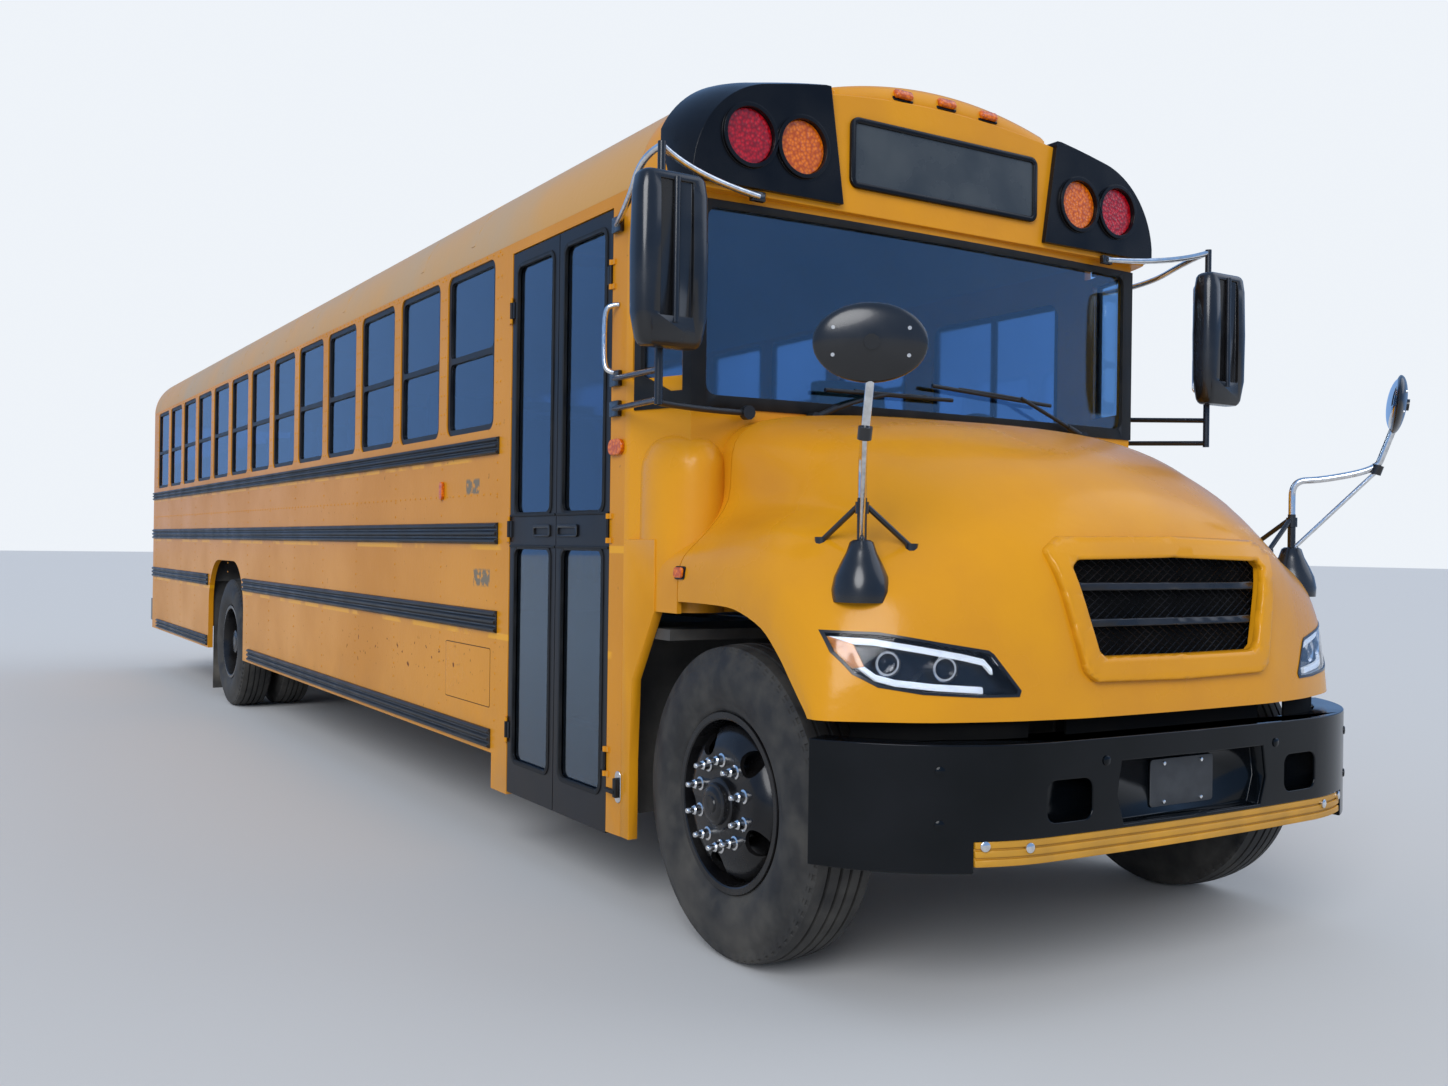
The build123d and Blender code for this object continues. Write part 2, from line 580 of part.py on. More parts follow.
# Windshield: one curved pane and the two corner panes beside it
with BuildPart() as windshield:
    extrude(body_front_outline(GLASS_FOOT, 12), amount=GLASS_HEAD - GLASS_FOOT)
    extrude(body_front_outline(GLASS_FOOT, 20), amount=GLASS_HEAD - GLASS_FOOT, mode=Mode.SUBTRACT)
    with Locations((0, DASH_Y + 176, GLASS_FOOT)):
        Box(2 * BODY_HALF, 300, 160, mode=Mode.SUBTRACT)
    for side in (-1, 1):
        with Locations((side * 1123, DASH_Y - 8, (GLASS_FOOT + GLASS_HEAD) / 2)):
            Box(76, 102, GLASS_HEAD - GLASS_FOOT, mode=Mode.SUBTRACT)
    with Locations((0, DOOR_PILLAR[0], (GLASS_FOOT + GLASS_HEAD) / 2)):
        Box(2 * BODY_HALF, 98, GLASS_HEAD, mode=Mode.SUBTRACT)
write(windshield, "windshield")


# Lamp pods: black panels round the warning lamps, front and rear
WARNING_LAMPS = ((944, 2843), (713, 2841))
LENS_RADIUS = 100.0
POD_PROUD = 24.0
with BuildPart() as lamp_pods:
    add(cap_form(-POD_PROUD, CAP_FOOT))
    with BuildSketch(Plane.XZ.offset(-CAP_FRONT - 170)):
        for side in (-1, 1):
            with BuildLine():
                Polyline((side * 522, 2660), (side * 586, 3090), (side * 1200, 3090), (side * 1200, 2660),
                         close=True)
            make_face()
    extrude(amount=300, mode=Mode.INTERSECT)
    add(cap_form(0, CAP_FOOT - 50), mode=Mode.SUBTRACT)
    with BuildSketch(Plane.XZ.offset(-BODY_REAR - POD_PROUD)):
        for side in (-1, 1):
            with Locations((side * 828, 2843)):
                RectangleRounded(500, 260, 60)
    extrude(amount=POD_PROUD)
    for y, direction in ((CAP_FRONT - POD_PROUD, -1), (BODY_REAR + POD_PROUD, 1)):
        with BuildSketch(Plane.XZ.offset(-y)):
            for side in (-1, 1):
                for x, z in WARNING_LAMPS:
                    with Locations((side * x, z)):
                        Circle(LENS_RADIUS + 16)
        extrude(amount=-direction * 14)
        with BuildSketch(Plane.XZ.offset(-y - direction * 20)):
            for side in (-1, 1):
                for x, z in WARNING_LAMPS:
                    with Locations((side * x, z)):
                        Circle(LENS_RADIUS)
        extrude(amount=direction * (POD_PROUD + 20), mode=Mode.SUBTRACT)
write(lamp_pods, "lamp_pods")


TAIL_LAMPS = ((1045, 1640), (1045, 1440))
with BuildPart() as red_lamps:
    for side in (-1, 1):
        x, z = WARNING_LAMPS[0]
        for y, outward in ((CAP_FRONT, (0, -1, 0)), (BODY_REAR, (0, 1, 0))):
            with BuildSketch(Plane(origin=(side * x, y, z), z_dir=outward)):
                Circle(LENS_RADIUS)
            extrude(amount=18)
        for x, z in TAIL_LAMPS:
            with BuildSketch(Plane(origin=(side * x, BODY_REAR, z), z_dir=(0, 1, 0))):
                Circle(88)
            extrude(amount=22)
write(red_lamps, "red_lamps")

CAP_MARKERS = (-221, 0, 221)
with BuildPart() as amber_lamps:
    for side in (-1, 1):
        x, z = WARNING_LAMPS[1]
        for y, outward in ((CAP_FRONT, (0, -1, 0)), (BODY_REAR, (0, 1, 0))):
            with BuildSketch(Plane(origin=(side * x, y, z), z_dir=outward)):
                Circle(LENS_RADIUS)
            extrude(amount=18)
        with BuildSketch(Plane(origin=(side * 830, BODY_REAR, 1540), z_dir=(0, 1, 0))):
            Circle(88)
        extrude(amount=22)
        for distance, z, width, height in ((2572, 1632, 90, 40), (695, 1744, 60, 110)):
            with BuildSketch(Plane(origin=(side * BODY_HALF, behind_axle(distance), z), z_dir=(side, 0, 0))):
                SlotOverall(max(width, height), min(width, height), rotation=0 if width > height else 90)
            extrude(amount=16)
write(amber_lamps, "amber_lamps")


# Rub rails: ribbed steel strips along both sides
RAILS = [
    # low z, high z, spans behind the front axle
    (1778, 1858, [(1850, 11400)]),
    (1372, 1471, [(1850, 11400)]),
    (973, 1074, [(1850, 7030), (8440, 11400)]),
    (448, 537, [(1910, 6826), (8440, 11105)]),
]
RAIL_PROUD = 20.0
with BuildPart() as rub_rails:
    for low, high, spans in RAILS:
        for start, end in spans:
            for side in (-1, 1):
                with Locations((side * (BODY_HALF + RAIL_PROUD / 2), behind_axle((start + end) / 2), (low + high) / 2)):
                    Box(RAIL_PROUD, end - start, high - low)
write(rub_rails, "rub_rails")


# Front bumper: a wrap-round steel channel with a plate recess and two towing holes
BUMPER_TOP = 818.0
BUMPER_FOOT = 448.0
BUMPER_PLATE = 10.0
BUMPER_LINE = (-960, 640, -946, 1010, -835, 1219, -569)
LIP_TOP = 540.0
PLATE_HOLES = (178.0, 121.0)
with BuildPart() as front_bumper:
    extrude(front_outline(BUMPER_FOOT, 0, *BUMPER_LINE, -550), amount=BUMPER_TOP - BUMPER_FOOT)
    inside = front_outline(BUMPER_FOOT + BUMPER_PLATE, BUMPER_PLATE, *BUMPER_LINE, -400)
    extrude(inside, amount=BUMPER_TOP - BUMPER_FOOT - 2 * BUMPER_PLATE, mode=Mode.SUBTRACT)
    throat = front_outline(BUMPER_FOOT - 10, 100, *BUMPER_LINE, -400)
    extrude(throat, amount=BUMPER_TOP, mode=Mode.SUBTRACT)
    with Locations((0, behind_axle(-900), BUMPER_FOOT + (LIP_TOP - BUMPER_FOOT) / 2 - 5)):
        Box(2 * 871, 400, LIP_TOP - BUMPER_FOOT + 10, mode=Mode.SUBTRACT)
    with Locations((0, behind_axle(-925), 650)):
        Box(740, 50, 220)
    with Locations((0, behind_axle(-960), 650)):
        Box(710, 60, 196, mode=Mode.SUBTRACT)
    for side in (-1, 1):
        with Locations((side * 548, behind_axle(-940), 642)):
            Box(180, 120, 120, mode=Mode.SUBTRACT)
        with Locations((side * 465, behind_axle(-900), 775)):
            Box(60, 100, 66)
        with Locations((side * HOOD_ARM_X, behind_axle(-880), BUMPER_TOP)):
            Box(HOOD_ARM_WIDTH + 24, 90, 60, mode=Mode.SUBTRACT)
    with BuildSketch(Plane.XZ.offset(-behind_axle(-880))):
        with Locations((0, 650)):
            with GridLocations(*PLATE_HOLES, 2, 2):
                Circle(3.5)
    extrude(amount=60, mode=Mode.SUBTRACT)
write(front_bumper, "front_bumper")

with BuildPart() as bumper_lip:
    strip = front_outline(LIP_TOP - 74, 3, *BUMPER_LINE, -400)
    extrude(strip, amount=74)
    core = front_outline(LIP_TOP - 80, 43, *BUMPER_LINE, -300)
    extrude(core, amount=100, mode=Mode.SUBTRACT)
    with Locations((0, behind_axle(-700), LIP_TOP)):
        Box(2 * 865, 900, 400, mode=Mode.INTERSECT)
write(bumper_lip, "bumper_lip")


# Rear bumper: a plain steel channel
with BuildPart() as rear_bumper:
    with Locations((0, LENGTH / 2 - 50, 620)):
        Box(2 * BODY_HALF, 100, 230)
    with Locations((0, LENGTH / 2 - 62, 620)):
        Box(2 * BODY_HALF - 20, 104, 210, mode=Mode.SUBTRACT)
write(rear_bumper, "rear_bumper")


# Grille and headlamps: set in the hood's face
def nose_shell(outer, inner):
    """Thin sheet that follows the hood's face between two insets."""
    with BuildPart() as sheet:
        nose = front_outline(HOOD_FOOT - 40, outer, *HOOD_LINE, 700)
        extrude(nose, amount=700, dir=HOOD_RAKE)
        back = front_outline(HOOD_FOOT - 60, inner, *HOOD_LINE, 900)
        extrude(back, amount=760, dir=HOOD_RAKE, mode=Mode.SUBTRACT)
    return sheet.part


with BuildPart() as grille:
    add(nose_shell(HOOD_SHELL + 0.5, HOOD_SHELL + 10))
    with BuildSketch(Plane.XZ.offset(-behind_axle(-600))):
        with BuildLine():
            Polyline((-465, 1362), (-380, 1042), (380, 1042), (465, 1362), close=True)
        make_face()
    extrude(amount=400, mode=Mode.INTERSECT)
write(grille, "grille")

with BuildPart() as headlamps:
    add(nose_shell(0, HOOD_SHELL + 14))
    extrude(headlamp_faces(), amount=500, mode=Mode.INTERSECT)
write(headlamps, "headlamps")


# Tubes are straight lengths between two points
def tube(start, end, radius):
    """Round bar from start to end, added to the part being built."""
    run = Vector(end) - Vector(start)
    with BuildPart() as bar:
        with BuildSketch(Plane(origin=start, z_dir=run)):
            Circle(radius)
        extrude(amount=run.length)
    return bar.part


def joined(points, radius):
    """Round bars between points, with a ball at each bend."""
    with BuildPart() as run:
        for start, end in zip(points, points[1:]):
            add(tube(start, end, radius))
        for corner in points[1:-1]:
            with Locations(corner):
                Sphere(radius)
    return run.part


# Cross-view mirrors: oval heads on chrome tubes that stand on the fenders
with BuildPart() as hood_mirrors:
    for side in (-1, 1):
        foot = (side * 1033, behind_axle(-550), 1300)
        elbow = (side * 1033, behind_axle(-550), 1650)
        reach = (side * 1215, behind_axle(-790), 1700)
        head = (side * 1245, behind_axle(-875), 1900)
        add(joined([foot, elbow, reach, head], 12))
        add(tube((foot[0], foot[1], foot[2] + 40), (reach[0], reach[1], reach[2] - 6), 9))
        with BuildSketch(Plane.XY.offset(foot[2])):
            with Locations((foot[0], foot[1])):
                Circle(55)
        extrude(amount=70, taper=25)
        centre = (side * 1245, behind_axle(-852), 1942)
        with BuildSketch(Plane(origin=centre, x_dir=(1, 0, 0), z_dir=(0, -1, 0))):
            Ellipse(125, 86)
            Rectangle(260, 180, align=(Align.CENTER, Align.MAX), mode=Mode.SUBTRACT)
        revolve(axis=Axis(centre, (1, 0, 0)), revolution_arc=180)
    add(hood_form(0, HOOD_FOOT), mode=Mode.SUBTRACT)
write(hood_mirrors, "hood_mirrors")

# Side mirrors: tall heads on arms from the door pillars
with BuildPart() as side_mirrors:
    for side in (-1, 1):
        mast_x = side * 1378
        mast_y = behind_axle(80)
        with BuildSketch(Plane.XY.offset(2035)):
            with Locations((mast_x, mast_y - 40)):
                RectangleRounded(270, 100, 30)
        extrude(amount=560)
        add(tube((mast_x, mast_y + 20, 1843), (mast_x, mast_y + 20, 2720), 14))
        for z, pillar_z in ((1960, 2000), (1860, 1887)):
            add(tube((mast_x, mast_y + 20, z), (side * (BODY_HALF + 14), behind_axle(700), pillar_z), 11))
        add(tube((mast_x, mast_y + 20, 2700), (side * (BODY_HALF + 14), behind_axle(700), 2577), 11))
        for z in (2000, 1887, 2577):
            with Locations((side * (BODY_HALF + 10), behind_axle(700), z)):
                Box(20, 70, 60)
write(side_mirrors, "side_mirrors")


# Entrance door: two outward-swinging leaves with tall glass above and below a middle rail
LEAF_THICK = 34.0
LEAF_FOOT = DOOR_BOTTOM + 14
LEAF_HEAD = DOOR_TOP - LEAF_GAP
LEAF_WIDTH = (DOOR_REAR - DOOR_PILLAR[1] - 3 * LEAF_GAP) / 2
LEAF_STILE = 48.0
LEAF_PANES = ((430.0, 1360.0), (1505.0, LEAF_HEAD - 60))
LEAF_STARTS = {"front": DOOR_PILLAR[1] + LEAF_GAP, "rear": DOOR_PILLAR[1] + 2 * LEAF_GAP + LEAF_WIDTH}


def door_leaf(start):
    """One leaf's frame, its front edge at start."""
    with BuildPart() as leaf:
        with BuildSketch(Plane.YZ.offset(-BODY_HALF + 2)):
            with Locations((start + LEAF_WIDTH / 2, (LEAF_FOOT + LEAF_HEAD) / 2)):
                Rectangle(LEAF_WIDTH, LEAF_HEAD - LEAF_FOOT)
            for low, high in LEAF_PANES:
                with Locations((start + LEAF_WIDTH / 2, (low + high) / 2)):
                    RectangleRounded(LEAF_WIDTH - 2 * LEAF_STILE, high - low, 40, mode=Mode.SUBTRACT)
        extrude(amount=LEAF_THICK)
    return leaf


def leaf_glass(start):
    """The two panes of one leaf."""
    with BuildPart() as panes:
        with BuildSketch(Plane.YZ.offset(-BODY_HALF + 14)):
            for low, high in LEAF_PANES:
                with Locations((start + LEAF_WIDTH / 2, (low + high) / 2)):
                    RectangleRounded(LEAF_WIDTH - 2 * LEAF_STILE, high - low, 40)
        extrude(amount=GLASS)
    return panes


for (place, start), hinge_y, inward in zip(LEAF_STARTS.items(), LEAF_ENDS, (30, -30)):
    with BuildPart() as leaf:
        add(door_leaf(start).part)
        add(upright_barrels((LEAF_HINGE_X, hinge_y), LEAF_HINGES, WALL / 4, inward))
    write(leaf, f"door_leaf_{place}")
    write(leaf_glass(start), f"door_glass_{place}")


# Emergency door: one outward-swinging panel in the rear wall, with an upper and a lower window
REAR_PANES = ((1150.0, 1640.0), (1830.0, 2580.0))
REAR_LEAF_HALF = DOOR_HALF - MOVE_GAP
with BuildPart() as emergency_door:
    with BuildSketch(Plane.XZ.offset(-BODY_REAR)):
        with Locations((0, (FLOOR_TOP + REAR_DOOR_TOP) / 2)):
            Rectangle(2 * REAR_LEAF_HALF, REAR_DOOR_TOP - FLOOR_TOP - 2 * MOVE_GAP)
        for low, high in REAR_PANES:
            with Locations((0, (low + high) / 2)):
                RectangleRounded(2 * REAR_LEAF_HALF - 180, high - low, 50, mode=Mode.SUBTRACT)
    extrude(amount=44)
    add(upright_barrels(REAR_HINGE, REAR_HINGES, 40, -12))
write(emergency_door, "emergency_door")
with BuildPart() as emergency_glass:
    with BuildSketch(Plane.XZ.offset(-BODY_REAR + 15)):
        for low, high in REAR_PANES:
            with Locations((0, (low + high) / 2)):
                RectangleRounded(2 * REAR_LEAF_HALF - 180, high - low, 50)
    extrude(amount=GLASS)
write(emergency_glass, "emergency_glass")


# Roof hatches: shallow lids over the collars
for name, y in zip(("front", "rear"), HATCHES):
    with BuildPart() as lid:
        with Locations((0, y, COLLAR_TOP + 5 + 20)):
            Box(HATCH_OPENING + 2 * LID_OVERHANG, HATCH_OPENING + 2 * LID_OVERHANG, 40)
        fillet(lid.edges().filter_by(Axis.Z), 60)
        chamfer(lid.faces().sort_by(Axis.Z)[-1].edges(), 14)
        for x in HATCH_HINGES:
            with Locations((x, y - LID_HINGE, LID_HINGE_Z)):
                Cylinder(HINGE_BARREL, HINGE_LENGTH, rotation=(0, 90, 0))
            with Locations((x, y - LID_HINGE + 9, LID_HINGE_Z)):
                Box(HINGE_LENGTH, 18, 2 * HINGE_BARREL)
        for x in HATCH_HINGES:
            with Locations((x, y - LID_HINGE, LID_HINGE_Z)):
                Cylinder(HINGE_PIN + PIN_PLAY, HINGE_LENGTH + 10, rotation=(0, 90, 0), mode=Mode.SUBTRACT)
    write(lid, f"roof_hatch_{name}")


# Stop arm: a plain octagon folded flat against the driver's side
with BuildPart() as stop_arm:
    with BuildSketch(Plane.YZ.offset(BODY_HALF + 26)):
        with Locations((STOP_HINGE[1] + 250, STOP_HINGE[2])):
            RegularPolygon(225, 8, major_radius=False, rotation=22.5)
        with Locations((STOP_HINGE[1] + 30, STOP_HINGE[2])):
            Rectangle(90, 260)
    extrude(amount=8)
    with Locations(STOP_HINGE):
        Cylinder(STOP_PIN, 300)
write(stop_arm, "stop_arm")


# Seats: benches in rows on both sides of the aisle and the driver's seat
AISLE_HALF = 190.0
SEAT_PITCH = 720.0
SEAT_ROWS = 12
SEATS_FRONT = behind_axle(2480)
SEAT_TOP = FLOOR_TOP + 430
SEAT_BACK_TOP = FLOOR_TOP + 1080
BENCH = BODY_HALF - WALL - 8 - AISLE_HALF


def bench_row(side, rows):
    """Bench cushions with their backs, one closed solid a row."""
    middle = side * (AISLE_HALF + BENCH / 2)
    with BuildPart() as benches:
        for i in range(rows):
            front = SEATS_FRONT + i * SEAT_PITCH
            with BuildSketch(Plane.YZ.offset(middle - BENCH / 2)):
                with BuildLine():
                    Polyline((front, SEAT_TOP - 130), (front, SEAT_TOP), (front + 370, SEAT_TOP - 25),
                             (front + 440, SEAT_BACK_TOP), (front + 530, SEAT_BACK_TOP),
                             (front + 480, SEAT_TOP - 130), close=True)
                make_face()
                fillet(vertices(), 28)
            extrude(amount=BENCH)
    return benches.part


with BuildPart() as seats_right:
    add(bench_row(-1, SEAT_ROWS))
write(seats_right, "seats_right")

DRIVER_X = 640.0
with BuildPart() as seats_left:
    add(bench_row(1, SEAT_ROWS))
    with BuildSketch(Plane.YZ.offset(DRIVER_X - 250)):
        with BuildLine():
            Polyline((behind_axle(1200), 1440), (behind_axle(1200), 1560), (behind_axle(1620), 1540),
                     (behind_axle(1720), 2240), (behind_axle(1800), 2240), (behind_axle(1740), 1440), close=True)
        make_face()
        fillet(vertices(), 30)
    extrude(amount=500)
write(seats_left, "seats_left")

LEG = 32.0
with BuildPart() as seat_frames:
    for side in (-1, 1):
        for i in range(SEAT_ROWS):
            y = SEATS_FRONT + i * SEAT_PITCH + 240
            for x in (AISLE_HALF + 60, BODY_HALF - WALL - 130):
                over_wheel = x > 560 and abs(y - REAR_AXLE_Y) < HOUSING_HALF + 200
                foot = HOUSING_TOP if over_wheel and abs(y - REAR_AXLE_Y) < HOUSING_HALF - 60 else FLOOR_TOP
                if over_wheel and HOUSING_HALF - 60 <= abs(y - REAR_AXLE_Y) <= HOUSING_HALF + 60:
                    continue
                with Locations((side * x, y, (foot + SEAT_TOP - 130) / 2)):
                    Box(LEG, 60, SEAT_TOP - 130 - foot)
    with Locations((DRIVER_X, behind_axle(1450), (FLOOR_TOP + 1440) / 2)):
        Box(320, 300, 1440 - FLOOR_TOP)
    with Locations((-300, behind_axle(1800), FLOOR_TOP + 450)):
        Cylinder(18, 900)
    with Locations((-1130, behind_axle(1800), FLOOR_TOP + 450)):
        Cylinder(18, 900)
    with Locations((-715, behind_axle(1800), FLOOR_TOP + 880)):
        Cylinder(18, 840, rotation=(0, 90, 0))
write(seat_frames, "seat_frames")


# Dashboard with the steering column and wheel
with BuildPart() as dashboard:
    with BuildSketch(Plane.YZ.offset(-560)):
        with BuildLine():
            Polyline((DASH_Y + WALL + 4, FLOOR_TOP), (DASH_Y + WALL + 4, 1860), (DASH_Y + 200, 1860),
                     (DASH_Y + 330, 1780), (DASH_Y + 330, 1560), (DASH_Y + 210, 1440), (DASH_Y + 210, FLOOR_TOP),
                     close=True)
        make_face()
    extrude(amount=1600)
    column_foot = Vector(DRIVER_X, DASH_Y + 200, 1500)
    column_head = Vector(DRIVER_X, DASH_Y + 560, 1800)
    add(tube(column_foot, column_head, 35))
    wheel_plane = Plane(origin=column_head, z_dir=column_head - column_foot)
    with BuildSketch(wheel_plane):
        Circle(232)
        Circle(205, mode=Mode.SUBTRACT)
        Rectangle(420, 40)
        Circle(60)
    extrude(amount=26)
write(dashboard, "dashboard")


# Power unit: engine as one plain block, gearbox, driveshaft and radiator
with BuildPart() as powertrain:
    with Locations((0, behind_axle(-140), 1000)):
        Box(600, 800, 640)
    add(tube((0, behind_axle(250), 810), (0, behind_axle(1050), 790), 150))
    add(tube((0, behind_axle(1000), 790), (0, REAR_AXLE_Y - 180, 560), 50))
    with Locations((0, behind_axle(-630), 1020)):
        Box(680, 70, 560)
write(powertrain, "powertrain")

with BuildPart() as exhaust:
    add(tube((520, behind_axle(900), 880), (520, REAR_WALL_FRONT - 30, 880), 38))
    add(tube((545, behind_axle(1900), 860), (545, behind_axle(3000), 860), 100))
    for distance in (1300, 4200, 6000, 9000, 10600):
        with Locations((460, behind_axle(distance), 880)):
            Box(60, 40, 30)
write(exhaust, "exhaust")

with BuildPart() as fuel_tank:
    with BuildSketch(Plane.XZ.offset(-behind_axle(3250))):
        with Locations((-810, 715)):
            RectangleRounded(580, 430, 60)
    extrude(amount=1100)
    for distance in (2350, 3050):
        with Locations((-476, behind_axle(distance), 860)):
            Box(92, 60, 120)
write(fuel_tank, "fuel_tank")

with BuildPart() as mud_flaps:
    for side in (-1, 1):
        with Locations((side * 880, behind_axle(8433), 558)):
            Box(580, 10, 964)
write(mud_flaps, "mud_flaps")


# Turned shapes about the wheel axis
HUB_Z = TYRE_RADIUS


def turned(x, y, side, outline):
    """Solid turned about the hub axis from an outline of (outward distance, radius) points."""
    with BuildPart() as body:
        with BuildSketch(Plane(origin=(x, y, HUB_Z), x_dir=(1, 0, 0), z_dir=(0, -1, 0))):
            with BuildLine():
                Polyline(*[(side * out, radius) for out, radius in outline], close=True)
            make_face()
        revolve(axis=Axis((x, y, HUB_Z), (1, 0, 0)))
    return body.part


# Front axle: dropped beam with kingpin eyes, on two leaf springs
KINGPIN = 20.0


def leaf_pack(x, y, low_z, thickness, half_length, eye_z):
    """Bowed pack of spring leaves along Y, with hangers up to the frame at both ends."""
    frame_foot = RAIL_TOP - RAIL_HEIGHT
    with BuildPart() as pack:
        with BuildSketch(Plane.YZ.offset(x - 40)):
            with BuildLine():
                ThreePointArc((y - half_length, eye_z), (y, low_z), (y + half_length, eye_z))
                Line((y + half_length, eye_z), (y + half_length, eye_z + 22))
                ThreePointArc((y + half_length, eye_z + 22), (y, low_z + thickness), (y - half_length, eye_z + 22))
                Line((y - half_length, eye_z + 22), (y - half_length, eye_z))
            make_face()
        extrude(amount=80)
        for end in (-1, 1):
            with Locations((x, y + end * (half_length - 20), (eye_z + frame_foot) / 2)):
                Box(60, 50, frame_foot - eye_z)
    return pack.part


with BuildPart() as front_axle:
    with BuildSketch(Plane.XZ.offset(-FRONT_AXLE_Y - 32)):
        with BuildLine():
            Polyline((-900, 481), (-820, 481), (-620, 400), (620, 400), (820, 481), (900, 481),
                     (900, 574), (780, 574), (600, 485), (-600, 485), (-780, 574), (-900, 574), close=True)
        make_face()
    extrude(amount=-64)
    for side in (-1, 1):
        with Locations((side * KINGPIN_X, FRONT_AXLE_Y, HUB_Z)):
            Cylinder(46, 93)
        with Locations((side * 430, FRONT_AXLE_Y, 510)):
            Box(90, 110, 60)
        add(leaf_pack(side * 430, FRONT_AXLE_Y, 540, 45, 640, 660))
    for side in (-1, 1):
        with Locations((side * KINGPIN_X, FRONT_AXLE_Y, HUB_Z)):
            Cylinder(KINGPIN + PIN_PLAY, 200, mode=Mode.SUBTRACT)
write(front_axle, "front_axle")


# Knuckles: forks on the kingpins, with the wheel spindle and the steering arm
ARM_REACH = 190.0
STUD = 10.0
OPEN_PLAY = 2.0
for side, name in ((-1, "right"), (1, "left")):
    with BuildPart() as knuckle:
        for low, high in ((428, 475), (580, 622)):
            with Locations((side * KINGPIN_X, FRONT_AXLE_Y, (low + high) / 2)):
                Cylinder(44, high - low)
            with Locations((side * (KINGPIN_X + 45), FRONT_AXLE_Y, (low + high) / 2)):
                Box(90, 80, high - low)
        with Locations((side * (KINGPIN_X + 75), FRONT_AXLE_Y, 525)):
            Box(40, 110, 194)
        with Locations((side * KINGPIN_X, FRONT_AXLE_Y, 525)):
            Cylinder(KINGPIN, 190)
        add(tube((side * (KINGPIN_X + 80), FRONT_AXLE_Y, HUB_Z), (side * 1150, FRONT_AXLE_Y, HUB_Z), 32))
        arm_end = (side * KINGPIN_X, FRONT_AXLE_Y + ARM_REACH, 441)
        add(tube((side * KINGPIN_X, FRONT_AXLE_Y, 441), arm_end, 12))
        with Locations(arm_end):
            Cylinder(34, 26)
        with Locations(arm_end):
            Cylinder(STUD + (PIN_PLAY if side > 0 else OPEN_PLAY), 60, mode=Mode.SUBTRACT)
    write(knuckle, f"knuckle_{name}")

with BuildPart() as tie_rod:
    rod_y = FRONT_AXLE_Y + ARM_REACH
    add(tube((-KINGPIN_X, rod_y, 400), (KINGPIN_X, rod_y, 400), 16))
    for side in (-1, 1):
        with Locations((side * KINGPIN_X, rod_y, 400)):
            Cylinder(24, 40)
        with Locations((side * KINGPIN_X, rod_y, 435)):
            Cylinder(STUD, 50)
write(tie_rod, "tie_rod")


# Rear axle: banjo housing with tubes and spindles, on two leaf springs
SPINDLE = 44.0
with BuildPart() as rear_axle:
    banjo = [(-1110, 0), (-1110, SPINDLE), (-600, SPINDLE), (-600, 66), (-220, 66), (-110, 180), (110, 180),
             (220, 66), (600, 66), (600, SPINDLE), (1110, SPINDLE), (1110, 0)]
    add(turned(0, REAR_AXLE_Y, 1, banjo))
    for side in (-1, 1):
        with Locations((side * 430, REAR_AXLE_Y, 600)):
            Box(90, 120, 60)
        add(leaf_pack(side * 430, REAR_AXLE_Y, 630, 60, 720, 700))
write(rear_axle, "rear_axle")


# Wheels: tyres and disc rims, made about the X axis through the hub
RIM_SEAT = 286.0
FLANGE = 299.0


def tyre(x, y):
    """Radial truck tyre centred at x."""
    side, shoulder = TYRE_HALF_WIDTH, 121.0
    with BuildPart() as carcass:
        with BuildSketch(Plane(origin=(x, y, HUB_Z), x_dir=(1, 0, 0), z_dir=(0, -1, 0))):
            with BuildLine():
                Polyline((-104, FLANGE), (-104, RIM_SEAT), (104, RIM_SEAT), (104, FLANGE))
                ThreePointArc((104, FLANGE), (side, 400), (shoulder, 508))
                ThreePointArc((shoulder, 508), (0, TYRE_RADIUS), (-shoulder, 508))
                ThreePointArc((-shoulder, 508), (-side, 400), (-104, FLANGE))
            make_face()
        revolve(axis=Axis((x, y, HUB_Z), (1, 0, 0)))
    return carcass.part


